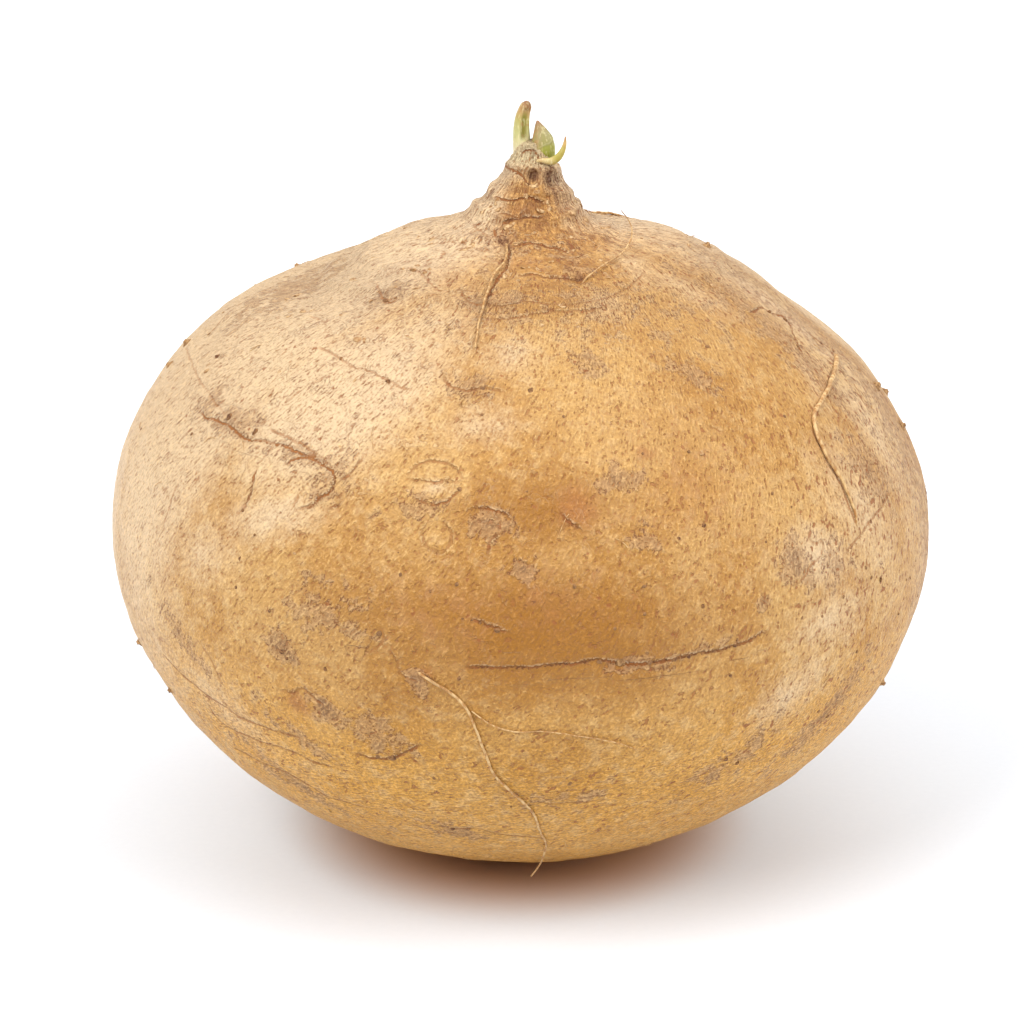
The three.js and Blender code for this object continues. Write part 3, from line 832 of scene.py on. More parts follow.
# What changes slowly is stored too: clouds of colour, where flakes come away, how low a place is, and how high.
clouds = smooth(lumps(base, 12, 7.7) + 0.5 * lumps(base, 6, 1.7), -0.35, 0.35)
loose = smooth(lumps(base, 3, 2.2), 0.12, 0.4)
low_down = 0.8 * (1 - smooth(arc_of, 60, 88))
high_up = smooth(climb_of, 0.75, 0.82)
crown = smooth(climb_of, 0.965, 0.985)
# How thickly the skin is flaked and speckled: most on the left shoulder, round the neck's foot, and at the right.
at_front_left = bump((bearing_of + 42) / 46, 1) * bump(climb_of - 0.68, 0.13)
near_foot = smooth(climb_of, 0.66, 0.8) * (1 - 0.5 * bump((bearing_of + 60) / 50, 1))
on_the_right = bump((bearing_of - 70) / 42, 1) * bump(climb_of - 0.49, 0.23)
at_the_back = smooth(np.abs(bearing_of), 100, 150)
flaked = np.clip(0.9 * at_front_left + 0.6 * near_foot + 0.45 * at_the_back * smooth(climb_of, 0.4, 0.7), 0, 1)
speckled = np.clip(0.25 + 0.9 * on_the_right + 0.3 * near_foot + 0.35 * at_the_back + 0.3 * flaked, 0, 1)


def add_vectors(mesh, name, values):
    layer = mesh.attributes.new(name, "FLOAT_VECTOR", "POINT")
    layer.data.foreach_set("vector", np.ascontiguousarray(values, dtype=np.float32).ravel())


def add_numbers(mesh, name, values):
    layer = mesh.attributes.new(name, "FLOAT", "POINT")
    layer.data.foreach_set("value", np.ascontiguousarray(values, dtype=np.float32))


def mesh_object(name, points, faces, material=None):
    """A smooth mesh object at the origin, from points in mm."""
    mesh = bpy.data.meshes.new(name)
    mesh.from_pydata((np.asarray(points) * MM).tolist(), [], [tuple(face) for face in faces])
    mesh.shade_smooth()
    if material:
        mesh.materials.append(material)
    made = bpy.data.objects.new(name, mesh)
    bpy.context.scene.collection.objects.link(made)
    return made


skin_points = base + base_normals * fine[:, None]
skin_points[:, 2] = np.maximum(skin_points[:, 2], 0.0)
tuber = mesh_object("tuber_skin", skin_points, triangles.tolist())
add_vectors(tuber.data, "grain", wrapped)
for number, values in enumerate(seams):
    add_vectors(tuber.data, f"seams_{number}", values)
add_vectors(tuber.data, "patches", np.stack([scurf, stain, tone], axis=1))
add_vectors(tuber.data, "broad", np.stack([clouds, loose, low_down], axis=1))
add_vectors(tuber.data, "neck", np.stack([smooth(hollow, -0.1, 0.4), high_up, crown], axis=1))
add_vectors(tuber.data, "cover", np.stack([flaked, speckled, np.maximum(bark, foot * 0.5)], axis=1))
print("the skin measures", np.round(skin_points.max(axis=0) - skin_points.min(axis=0), 2), "mm")

# %% [markdown]
# ## Writing node trees as sums
#
# Both materials and Geometry Nodes are trees of nodes. They could be wired by hand, one link at a time, but most
# of a finish is plain arithmetic on masks. A small class holds one output socket and overloads Python's operators,
# so that `1 - mask` adds a Math node, and one method makes every other kind of node.

# %% A socket that can take part in a sum


class Wire:
    """One output socket of a node tree."""

    def __init__(self, socket):
        self.socket = socket

    @staticmethod
    def node(tree, kind, settings=None, sockets=None, out=0):
        """Any node: its settings are set first, then the values or links of its sockets."""
        made = tree.nodes.new(kind)
        for name, value in (settings or {}).items():
            if name == "stops":
                ramp = made.color_ramp.elements
                while len(ramp) < len(value):
                    ramp.new(0.5)
                for element, (place, colour) in zip(ramp, value):
                    element.position = place
                    element.color = colour
            else:
                setattr(made, name, value)
        for name, value in (sockets or {}).items():
            if isinstance(value, Wire):
                tree.links.new(value.socket, made.inputs[name])
            else:
                made.inputs[name].default_value = value
        return made if out is None else Wire(made.outputs[out])

    def maths(self, operation, *values):
        tree = self.socket.id_data
        return Wire.node(tree, "ShaderNodeMath", {"operation": operation}, dict(enumerate(values)))

    def __add__(self, other):
        return self.maths("ADD", self, other)

    def __sub__(self, other):
        return self.maths("SUBTRACT", self, other)

    def __rsub__(self, other):
        return self.maths("SUBTRACT", other, self)

    def __mul__(self, other):
        return self.maths("MULTIPLY", self, other)

    def __abs__(self):
        return self.maths("ABSOLUTE", self)

    def bigger(self, other):
        return self.maths("MAXIMUM", self, other)

    def smaller(self, other):
        return self.maths("MINIMUM", self, other)

    def rise(self, low, high):
        """0 below low and 1 above high, with a soft ramp between; low may be above high, which turns it round."""
        tree = self.socket.id_data
        values = {"Value": self, "From Min": low, "From Max": high}
        return Wire.node(tree, "ShaderNodeMapRange", {"interpolation_type": "SMOOTHSTEP"}, values)

    def blend(self, first, second):
        """The first colour where this mask is 0, and the second where it is 1."""
        tree = self.socket.id_data
        return Wire.node(tree, "ShaderNodeMix", {"data_type": "RGBA"}, {0: self, 6: first, 7: second}, out=2)

    def parts(self):
        """The three numbers of a vector."""
        tree = self.socket.id_data
        split = Wire.node(tree, "ShaderNodeSeparateXYZ", None, {0: self}, out=None)
        return [Wire(output) for output in split.outputs]

    def stretched(self, x, y, z):
        """A vector whose parts are each multiplied by a number."""
        tree = self.socket.id_data
        return Wire.node(tree, "ShaderNodeVectorMath", {"operation": "MULTIPLY"}, {0: self, 1: (x, y, z)})

    def dimmed(self, light):
        """A colour made darker or lighter by a number."""
        tree = self.socket.id_data
        return Wire.node(tree, "ShaderNodeVectorMath", {"operation": "SCALE"}, {0: self, "Scale": light})

    __radd__ = __add__
    __rmul__ = __mul__


def noise_at(place, scale, detail, roughness=0.55, out="Fac"):
    values = {"Vector": place, "Scale": scale, "Detail": detail, "Roughness": roughness}
    return Wire.node(place.socket.id_data, "ShaderNodeTexNoise", None, values, out)


def cells_at(place, scale):
    """For a Voronoi pattern: how far the nearest cell's middle is, and two random numbers of that cell."""
    cells = Wire.node(place.socket.id_data, "ShaderNodeTexVoronoi", None, {"Vector": place, "Scale": scale}, None)
    luck, other, _ = Wire(cells.outputs["Color"]).parts()
    return Wire(cells.outputs["Distance"]), luck, other


def attribute(tree, name):
    return Wire.node(tree, "ShaderNodeAttribute", {"attribute_name": name}, None, "Vector")


def in_mm(tree):
    """The place on an object, in mm."""
    place = Wire.node(tree, "ShaderNodeTexCoord", None, None, "Object")
    return place.stretched(1 / MM, 1 / MM, 1 / MM)


def rgb(red, green, blue):
    """A colour from its usual numbers of 0 to 255, as the light it stands for."""
    shares = [part / 255 for part in (red, green, blue)]
    return (*[share / 12.92 if share < 0.0405 else ((share + 0.055) / 1.055) ** 2.4 for share in shares], 1.0)


def new_finish(name):
    """An empty material, its tree, and its main shader."""
    material = bpy.data.materials.new(name)
    material.use_nodes = True
    tree = material.node_tree
    return material, tree, tree.nodes["Principled BSDF"]


def finish_with(shader, colour, roughness, height, specular=0.4):
    """Joins a finish's colour, roughness and relief in mm to its shader."""
    tree = shader.id_data
    tree.links.new(colour.socket, shader.inputs["Base Color"])
    if isinstance(roughness, Wire):
        tree.links.new(roughness.socket, shader.inputs["Roughness"])
    else:
        shader.inputs["Roughness"].default_value = roughness
    bumped = Wire.node(tree, "ShaderNodeBump", None, {"Strength": 1.0, "Distance": MM, "Height": height}, "Normal")
    tree.links.new(bumped.socket, shader.inputs["Normal"])
    shader.inputs["Specular IOR Level"].default_value = specular


# %% [markdown]
# ## The skin's finish
#
# A jicama's skin is dry, papery cork. From far off it is tan with paler and more orange clouds. Close by it has a
# fine wrinkled grain, which runs down from the neck over the shoulders and round the belly below, thin flake edges
# where one layer ends, brown specks, and the seams and patches that the mesh carries. A painted sheet could be
# wrapped round the mesh, but it would stretch and repeat. Noise that follows the skin does neither.

# %% Colours of the skin
TAN = rgb(180, 137, 76)
TAN_PALE = rgb(194, 157, 102)
TAN_DEEP = rgb(168, 121, 56)
PAPER_AND_HIGHLIGHT = rgb(208, 183, 149)
PALE_CREST_AND_HIGHLIGHT = rgb(210, 176, 120)
GRAIN_BROWN_AND_SHADE = rgb(170, 110, 48)
CRACK_BROWN = rgb(98, 52, 18)
PIT_BROWN_AND_SHADE = rgb(96, 54, 26)
EDGE_BROWN = rgb(134, 76, 28)
SPECK_BROWN = rgb(138, 78, 30)
GOLDEN_AND_SHADE = rgb(140, 88, 4)
LOW_GOLD = rgb(196, 140, 38)
SEAM_TAN = rgb(158, 98, 46)
SCURF_PALE = rgb(164, 126, 88)
SCURF_GREY = rgb(118, 84, 54)
STAIN_AND_SHADE_ORANGE = rgb(148, 90, 34)
BARK_TAN = rgb(168, 118, 60)
BARK_BROWN = rgb(112, 64, 24)
CROWN_PALE = rgb(202, 184, 142)

# %% Build the skin's finish
skin_finish, tree, shader = new_finish("jicama_skin")
place = in_mm(tree)
grain = attribute(tree, "grain")
scurf_depth, stain_and_shade_depth, tone_and_light_here = attribute(tree, "patches").parts()
flaky, speckly, barky = attribute(tree, "cover").parts()
cloud, gate, low = attribute(tree, "broad").parts()
pit_and_shade, high, topmost = attribute(tree, "neck").parts()

# The grain: fibres down the shoulders, streaks round the belly, and a fine wrinkle everywhere.
down_neck = noise_at(grain.stretched(1.5, 1.5, 0.55), 1.0, 1.0)
fibres = noise_at(grain.stretched(10.0, 10.0, 1.1), 1.0, 1.0)
streaks = noise_at(grain.stretched(6.0, 6.0, 2.6), 1.0, 1.0)
strokes = noise_at(grain.stretched(4.6, 4.6, 0.75), 1.0, 1.0)
wrinkle = noise_at(place, 2.5, 1.0, 0.6)
mottle = noise_at(place, 0.42, 2.0, 0.62)
run = fibres + (down_neck - fibres) * high
run = run + (streaks - run) * low
paper = run * 0.55 + wrinkle * 0.45

# Layers of paper: a contour line of the mottle is the edge where one layer ends.
LAYER_STEPS = 7.0
steps = mottle * LAYER_STEPS
layer = steps.maths("FRACT", steps)
edge_force = gate * (flaky * 0.85 + 0.15)
edge_line = layer.rise(0.66, 0.9) * edge_force
edge_step = layer.rise(0.0, 0.12) * layer.rise(1.0, 0.5) * edge_force

# Specks: round dots in some of the cells of a Voronoi pattern.
cell_gap, cell_luck, cell_size = cells_at(place, 0.62)
cell_gap = cell_gap + (wrinkle - 0.5) * 0.5
dot = (cell_gap - cell_size * 0.16).rise(0.1, 0.02) * (cell_luck - speckly * 0.34).rise(0.03, -0.03)
dash = run.rise(0.36, 0.27) * (mottle - speckly * 0.08).rise(0.46, 0.38)
stroke = strokes.rise(0.38, 0.31) * (mottle * 0.6 + wrinkle * 0.4 - speckly * 0.12).rise(0.5, 0.41)
dash = dash.bigger(stroke)

# Seams: each set gives a dark line, a pale lip on its left, and a step.
seam_dark, seam_pale, seam_step = 0.0, 0.0, 0.0
wobble = (wrinkle - 0.5) * 0.8 + (mottle - 0.5) * 1.2
for number in range(SEAM_SETS):
    across, along, force = attribute(tree, f"seams_{number}").parts()
    off = across + wobble
    broken = force * (wrinkle + mottle).rise(0.78, 1.04)
    seam_dark = (abs(off).rise(0.32, 0.1) * (force * 0.5 + broken * 0.8)).smaller(1.0).bigger(seam_dark)
    seam_pale = (off.rise(0.12, 0.3) * off.rise(0.65, 0.4) * force).bigger(seam_pale)
    seam_step = (off.rise(-0.1, 0.35) * off.rise(1.8, 0.5) * force).bigger(seam_step)

# Patches, with ragged edges.
ragged = (mottle - 0.5) * 3.2 + (wrinkle - 0.5) * 1.2
scurf_cut = scurf_depth + ragged * 0.8
scurfy = scurf_cut.rise(0.05, 0.3)
scurf_heavy = scurf_cut.rise(0.35, 1.0)
scurf_rim = scurf_cut.rise(-0.02, 0.08) * scurf_cut.rise(0.25, 0.1)
stained_or_shaded = (stain_and_shade_depth + ragged * 0.5).rise(-0.1, 0.8)
ragged_tone = tone_and_light_here + ragged * 0.12
paled_or_lit = ragged_tone.rise(0.0, 0.9)
deepened_or_shaded = ragged_tone.rise(0.0, -0.9)

# Colour, from the broad clouds to the finest lines.
colour = cloud.blend(TAN_DEEP, TAN)
colour = (low * 0.75).blend(colour, LOW_GOLD)
colour = (mottle.rise(0.45, 0.68) * 0.5).blend(colour, TAN_PALE)
# Deeper golden skin, and painted shade over the front middle.
colour = (deepened_or_shaded * 0.9).blend(colour, GOLDEN_AND_SHADE)
# Orange stains, and on the neck painted shade below its ledges and in its hollows.
colour = (stained_or_shaded * 0.7).blend(colour, STAIN_AND_SHADE_ORANGE)
colour = (barky * 0.6).blend(colour, BARK_TAN)
colour = (barky * mottle.rise(0.52, 0.36) * 0.55).blend(colour, BARK_BROWN)
# Paler skin, and painted highlight on the upper left and the right.
colour = (paled_or_lit * 0.72).blend(colour, PAPER_AND_HIGHLIGHT)
colour = (topmost * 0.7).blend(colour, CROWN_PALE)
colour = (scurfy * 0.55).blend(colour, SCURF_PALE)
colour = (scurf_heavy * (paper.rise(0.6, 0.4) * 0.5 + 0.35)).blend(colour, SCURF_GREY)
# Painted shade and highlight of the grain's relief: the colour is darker in its furrows and lighter on its crests,
# most of all low down, besides their own browner and paler tones.
colour = colour.dimmed((paper - 0.5) * (scurfy * 0.8 + low * 2.0 + barky * 1.2 + 1.3) + 1.0)
colour = (paper.rise(0.54, 0.72) * (0.42 - deepened_or_shaded * 0.36)).blend(colour, PALE_CREST_AND_HIGHLIGHT)
colour = (paper.rise(0.48, 0.3) * (barky * 0.25 + 0.6)).blend(colour, GRAIN_BROWN_AND_SHADE)
colour = (scurf_rim * paper.rise(0.56, 0.42) * 0.8).blend(colour, CRACK_BROWN)
colour = (dash * (speckly * 0.55 + low * 0.4 + barky * 0.4 + 0.3)).smaller(1.0).blend(colour, SPECK_BROWN)
colour = (edge_line * 0.5).blend(colour, EDGE_BROWN)
colour = (edge_step * layer.rise(0.4, 0.15) * 0.4).blend(colour, PAPER_AND_HIGHLIGHT)
colour = (seam_pale * wrinkle.rise(0.4, 0.55) * 0.32).blend(colour, PAPER_AND_HIGHLIGHT)
colour = (dot * 0.75).blend(colour, SPECK_BROWN)
seam_brown = (paled_or_lit * 0.75).blend(mottle.rise(0.42, 0.56).blend(CRACK_BROWN, EDGE_BROWN), SEAM_TAN)
colour = (seam_dark * 0.9).smaller(1.0).blend(colour, seam_brown)
# Darker brown in the neck's hollows: the scars' own brown, and painted shade in the hollow.
colour = (pit_and_shade * (paper.rise(0.62, 0.4) * 0.5 + 0.45)).blend(colour, PIT_BROWN_AND_SHADE)

# Relief in mm, and how rough it is.
height = paper * (barky * 0.35 + flaky * 0.08 + 0.48) + mottle * 0.2
height = height + edge_step * 0.09 - edge_line * 0.05 - dash * 0.1
height = height + seam_step * 0.09 - seam_dark * 0.16 + scurfy * (paper * 0.3 - 0.1)
rough = 0.52 + scurfy * 0.2 + (wrinkle - 0.5) * 0.3 + seam_dark * 0.2
finish_with(shader, colour, rough, height)
tuber.data.materials.append(skin_finish)
print(len(tree.nodes), "nodes in the skin's finish")

# %% [markdown]
# ## Growing pieces with Geometry Nodes
#
# Specks, flakes and hairs repeat hundreds of times, and rootlets follow a path over the skin. Placing copies by
# hand, or by a Python loop, works, but a Geometry Nodes tree says the rule once and can be tuned by its inputs.
# Each tree here is built from the same Wire class, run once, and turned into a plain mesh.

# %% Start, end and run a tree


def new_tree(name, inputs):
    """A Geometry Nodes tree with named inputs, given as name: (kind, default)."""
    tree = bpy.data.node_groups.new(name, "GeometryNodeTree")
    tree.interface.new_socket("Geometry", in_out="INPUT", socket_type="NodeSocketGeometry")
    tree.interface.new_socket("Geometry", in_out="OUTPUT", socket_type="NodeSocketGeometry")
    for label, (kind, value) in inputs.items():
        tree.interface.new_socket(label, in_out="INPUT", socket_type=kind).default_value = value
    entry = tree.nodes.new("NodeGroupInput")
    return tree, {output.name: Wire(output) for output in entry.outputs if output.name}


def end_tree(tree, geometry, finish):
    """Realizes copies, smooths them, gives them their finish, and sends them out."""
    real = Wire.node(tree, "GeometryNodeRealizeInstances", None, {"Geometry": geometry})
    smoothed = Wire.node(tree, "GeometryNodeSetShadeSmooth", None, {"Geometry": real})
    dressed = Wire.node(tree, "GeometryNodeSetMaterial", None, {"Geometry": smoothed, "Material": finish})
    Wire.node(tree, "NodeGroupOutput", None, {"Geometry": dressed}, None)


def position(tree):
    return Wire.node(tree, "GeometryNodeInputPosition")


def stored(tree, name, kind="FLOAT_VECTOR"):
    """What an attribute of the mesh says at each place."""
    return Wire.node(tree, "GeometryNodeInputNamedAttribute", {"data_type": kind}, {"Name": name})


def pushed(tree, geometry, offset):
    return Wire.node(tree, "GeometryNodeSetPosition", None, {"Geometry": geometry, "Offset": offset})


def either_way(tree, scale, detail):
    """Noise as a push in any direction, as often one way as the other."""
    push = noise_at(position(tree), scale, detail, out="Color")
    return Wire.node(tree, "ShaderNodeVectorMath", {"operation": "SUBTRACT"}, {0: push, 1: (0.5, 0.5, 0.5)})


def grown(name, carrier, tree, values=None):
    """Runs a tree on a mesh, and returns the result as a plain mesh object."""
    made = bpy.data.objects.new(name, carrier)
    bpy.context.scene.collection.objects.link(made)
    modifier = made.modifiers.new(name, "NODES")
    modifier.node_group = tree
    for item in tree.interface.items_tree:
        if item.in_out == "INPUT" and item.name in (values or {}):
            modifier[item.identifier] = values[item.name]
    bpy.context.view_layer.update()
    mesh = bpy.data.meshes.new_from_object(made.evaluated_get(bpy.context.evaluated_depsgraph_get()))
    made.modifiers.remove(modifier)
    made.data = mesh
    mesh.name = name
    size = sum(len(face.vertices) - 2 for face in mesh.polygons)
    print(f"{name}: {size} triangles")
    return made


# %% [markdown]
# ## Rootlets
#
# A rootlet is a dry, tough thread that once fed the root. It leaves the skin from a small pit, lies along the skin,
# and its end may stand free. It could be a curve with a bevel, but a real one is uneven, so a tree resamples the
# path, lets noise push it about and vary its thickness, and sweeps a small ring along it.

# %% Where the rootlets run
# Each rootlet: its thickness at the root and at the tip, and its route by bearing, climb and height above the skin.
ROOTLETS = {
    "down the front of the neck": (0.44, 0.26, [
        (-13, 0.857, -0.6), (-11, 0.843, 0.3), (-8.7, 0.821, 0.4), (-8.4, 0.803, 0.4), (-10.5, 0.786, 0.4),
        (-10.6, 0.768, 0.35), (-10.5, 0.749, 0.35), (-10.4, 0.731, 0.3), (-9.8, 0.706, 0.1)]),
    "round the right of the neck's foot": (0.34, 0.16, [
        (18, 0.784, -0.7), (21, 0.786, 0.3), (27, 0.793, 0.4), (40, 0.807, 0.6), (55, 0.818, 1.3), (59, 0.822, 2.5),
        (60, 0.829, 4.0), (56, 0.834, 5.4)]),
    "the longest, down the belly": (0.44, 0.28, [
        (-13, 0.414, -0.5), (-11.5, 0.41, 0.25), (-8, 0.395, 0.35), (-6.3, 0.378, 0.35), (-5, 0.35, 0.35),
        (-3.6, 0.32, 0.35), (-1.5, 0.299, 0.35), (1.3, 0.274, 0.3), (2.9, 0.24, 0.3), (4.2, 0.21, 0.3),
        (4.4, 0.193, 0.5), (4.0, 0.183, 1.2), (3.2, 0.175, 2.2), (2.0, 0.168, 3.3)]),
    "its side branch": (0.22, 0.15, [
        (-6.2, 0.382, 0.1), (-3.9, 0.371, 0.25), (-1, 0.364, 0.25), (3.6, 0.363, 0.25), (8.8, 0.355, 0.25),
        (12.8, 0.346, 0.2), (15.8, 0.335, 0)]),
    "pressed to the right shoulder": (0.9, 0.34, [
        (79, 0.637, -0.2), (70, 0.631, 0.15), (58, 0.616, 0.2), (52.5, 0.603, 0.2), (51, 0.575, 0.2),
        (52, 0.544, 0.2), (52.3, 0.517, 0.15), (52, 0.5, -0.1)]),
    "from the back of the neck's foot": (0.46, 0.28, [
        (152, 0.83, -0.5), (147, 0.805, 0.3), (139, 0.76, 0.35), (133, 0.71, 0.3), (130, 0.66, 0.3),
        (131, 0.615, 0)]),
    "round the left of the back": (0.46, 0.28, [
        (-142, 0.462, -0.5), (-138, 0.448, 0.3), (-132, 0.415, 0.35), (-128, 0.372, 0.3), (-129, 0.325, 0.3),
        (-133, 0.285, 0.4), (-135, 0.262, 1.3), (-134, 0.25, 2.6)]),
    "low across the back": (0.4, 0.26, [
        (173, 0.4, -0.5), (169, 0.389, 0.25), (161, 0.38, 0.3), (152, 0.373, 0.3), (145, 0.358, 0.2),
        (140, 0.338, 0)]),
}
# The skin's fine relief lies below the plain form, so the rootlets are let down onto it by this much.
SKIN_SINKS = 0.17


def rootlet_carrier():
    points, thickness, edges = [], [], []
    for root, tip, route in ROOTLETS.values():
        bearings, climbs, lifts = rounded(route).T
        first = len(points)
        lifts = np.where(lifts > 1, lifts, lifts - SKIN_SINKS)
        points.extend(skin_point(bearings, climbs, lifts).tolist())
        thickness.extend(np.linspace(root, tip, len(bearings)).tolist())
        edges.extend((i, i + 1) for i in range(first, len(points) - 1))
    mesh = bpy.data.meshes.new("rootlet_paths")
    mesh.from_pydata((np.array(points) * MM).tolist(), edges, [])
    add_numbers(mesh, "thickness", np.array(thickness) * MM)
    return mesh


# %% The thread finish
thread_finish, tree, shader = new_finish("dry_thread")
place = in_mm(tree)
strain = noise_at(place.stretched(1.0, 1.0, 0.6), 1.6, 2.0)
blotch = noise_at(place, 0.25, 1.0)
colour = strain.rise(0.35, 0.65).blend(rgb(164, 116, 62), rgb(206, 172, 120))
colour = (blotch.rise(0.5, 0.7) * 0.6).blend(colour, rgb(146, 104, 60))
finish_with(shader, colour, 0.55, strain * 0.12)

# %% The rootlets' tree
tree, given = new_tree("thread_along_path", {
    "Step": ("NodeSocketFloat", 0.3 * MM),
    "Wander": ("NodeSocketFloat", 0.22 * MM),
    "Unevenness": ("NodeSocketFloat", 0.28),
    "Sides": ("NodeSocketInt", 8),
})
path = Wire.node(tree, "GeometryNodeMeshToCurve", None, {"Mesh": given["Geometry"]})
path = Wire.node(tree, "GeometryNodeResampleCurve", {"mode": "LENGTH"}, {"Curve": path, "Length": given["Step"]})
path = pushed(tree, path, either_way(tree, 260.0, 2.0).dimmed(given["Wander"] * 2))
uneven = (noise_at(position(tree), 600.0, 1.0) - 0.5) * given["Unevenness"] * 2 + 1
thickness = stored(tree, "thickness", "FLOAT")
ring = Wire.node(tree, "GeometryNodeCurvePrimitiveCircle", None, {"Resolution": given["Sides"], "Radius": 0.5})
thread = Wire.node(tree, "GeometryNodeCurveToMesh", None, {
    "Curve": path, "Profile Curve": ring, "Scale": thickness * uneven, "Fill Caps": True})
end_tree(tree, thread, thread_finish)
rootlets = grown("rootlets", rootlet_carrier(), tree)

# %% [markdown]
# ## Stubs
#
# Where a rootlet broke off, a short blunt peg is left, darker than the skin, with a collar of cork round its foot.
# It could be part of the skin's mesh, but it is much finer than the skin's triangles, so each is a small lathed
# shape whose rings are pushed about by noise.

# %% Stubs of broken rootlets
# Bearing, climb, length and thickness of each stub.
STUBS = [
    (-89, 0.625, 1.0, 2.0), (-86, 0.603, 0.8, 1.8), (-73, 0.342, 1.0, 2.0), (-63, 0.314, 0.9, 1.8),
    (12.5, 0.421, 0.2, 1.4), (100, 0.767, 1.1, 1.8), (85, 0.586, 1.1, 2.0), (93, 0.563, 0.9, 1.8),
    (86, 0.538, 1.0, 2.0), (69, 0.309, 1.2, 2.0), (128, 0.59, 1.0, 2.0), (163, 0.66, 0.9, 1.8),
    (-124, 0.68, 1.1, 2.0), (-152, 0.53, 0.9, 1.9), (-171, 0.31, 1.0, 2.0), (117, 0.37, 0.9, 1.8),
]
# The stub's side: share of its half-thickness, share of its length.
STUB_SIDE = [
    (1.25, -0.35), (1.0, 0.0), (0.8, 0.22), (0.55, 0.45),
    (0.46, 0.7), (0.4, 0.92), (0.26, 0.98), (0.1, 0.86),
]
STUB_SECTORS = 14
# How much of the listed thickness and length its side starts from, before noise widens it.
STUB_WIDE = 0.4
STUB_TALL = 0.6


def turned_stub(number, bearing, climb, long, thick):
    foot_point = skin_point(bearing, climb, -SKIN_SINKS)
    axis = skin_point(bearing, climb, 1.0) - skin_point(bearing, climb, 0.0)
    axis /= np.linalg.norm(axis)
    side = np.cross(axis, (0.0, 0.0, 1.0))
    side /= np.linalg.norm(side)
    other = np.cross(axis, side)
    points = []
    for share, level in STUB_SIDE:
        for turn in np.arange(STUB_SECTORS) * 2 * np.pi / STUB_SECTORS:
            ahead, aside = math.cos(turn), math.sin(turn)
            rough = 1 + 0.35 * noise.noise((ahead * 1.3, aside * 1.3, number * 3.1 + level))
            out = share * thick * STUB_WIDE * rough
            tall = level * long * STUB_TALL + 0.1 * noise.noise((ahead * 2, aside * 2, number * 5.7))
            points.append(foot_point + axis * tall + side * out * ahead + other * out * aside)
    points.append(foot_point + axis * long * 0.5)
    return points


def ring_faces(rows, sectors, first, tip):
    """Faces of a tube whose rows lie one after another from a first vertex, closed by a tip at its end."""
    made = []
    for row in range(rows - 1):
        for i in range(sectors):
            here, beside = first + row * sectors + i, first + row * sectors + (i + 1) % sectors
            made.append((here, beside, beside + sectors, here + sectors))
    last = first + (rows - 1) * sectors
    made.extend((last + i, last + (i + 1) % sectors, tip) for i in range(sectors))
    return made


stub_finish, tree, shader = new_finish("stub_cork")
place = in_mm(tree)
crumb = noise_at(place, 2.4, 2.0)
colour = crumb.rise(0.35, 0.65).blend(rgb(128, 90, 50), rgb(178, 138, 90))
finish_with(shader, colour, 0.7, crumb * 0.3)

stub_points, stub_faces = [], []
for number, (bearing, climb, long, thick) in enumerate(STUBS):
    first = len(stub_points)
    stub_points.extend(turned_stub(number, bearing, climb, long, thick))
    stub_faces.extend(ring_faces(len(STUB_SIDE), STUB_SECTORS, first, len(stub_points) - 1))
    stub_faces.append(tuple(range(first + STUB_SECTORS - 1, first - 1, -1)))
stubs = mesh_object("rootlet_stubs", stub_points, stub_faces, stub_finish)
print(len(STUBS), "stubs")

# %% [markdown]
# ## Shoots
#
# Three shoots stand in the neck's top: a tall one whose tip curls over its own fold, a fat bud with one scale over
# another, and a thin one that hooks outwards. Sculpting would do for one of them. Here all three are swept along a
# few middles with a radius at each, and a small rule for each shoot says how its section is folded.

# %% Sweep a shoot
NECK_AXIS = CROWN_LEAN + NECK_LEAN
TO_FRONT = np.array([0.0, -1.0, 0.0])
# Which way the tall shoot's groove faces, in radians from the front.
GROOVE_FACING = 0.35


def swept(middles, rows, sectors, folded):
    """Points of a shoot, its faces, and each point's share along it and turn round it, where turn 0 is in front.

    A middle is [right of the neck's axis, behind it, above the shoulders, radius]."""
    track = rounded(middles, 8)
    spread = np.concatenate([[0], np.cumsum(np.linalg.norm(np.diff(track[:, :3], axis=0), axis=1))])
    share = np.linspace(0, 1, rows)
    track = np.stack([np.interp(share * spread[-1], spread, column) for column in track.T], axis=1)
    centre = track[:, :3] + (NECK_AXIS, ROOT_BACK, SHOULDER_LEVEL)
    along = np.gradient(centre, axis=0)
    along /= np.linalg.norm(along, axis=1, keepdims=True)
    front = TO_FRONT - along * (along @ TO_FRONT)[:, None]
    front /= np.linalg.norm(front, axis=1, keepdims=True)
    beside = np.cross(along, front)
    turn = np.arange(sectors) * 2 * np.pi / sectors
    shares, turns = np.meshgrid(share, turn, indexing="ij")
    radius = track[:, 3:4] * folded(shares, turns)
    points = centre[:, None] + radius[..., None] * (front[:, None] * np.cos(turns)[..., None]
                                                    + beside[:, None] * np.sin(turns)[..., None])
    start = centre[0] - along[0] * track[0, 3] * 0.3
    end = centre[-1] + along[-1] * track[-1, 3] * 0.5
    faces = ring_faces(rows, sectors, 0, rows * sectors + 1)
    faces.extend(((i + 1) % sectors, i, rows * sectors) for i in range(sectors))
    marks = np.stack([shares.ravel(), turns.ravel()], axis=1)
    return np.concatenate([points.reshape(-1, 3), [start, end]]), faces, np.concatenate([marks, [[0, 0], [1, 0]]])


def from_front(turn, facing):
    """How far a turn is from a facing, in radians, either way."""
    return np.abs((turn - facing + np.pi) % (2 * np.pi) - np.pi)


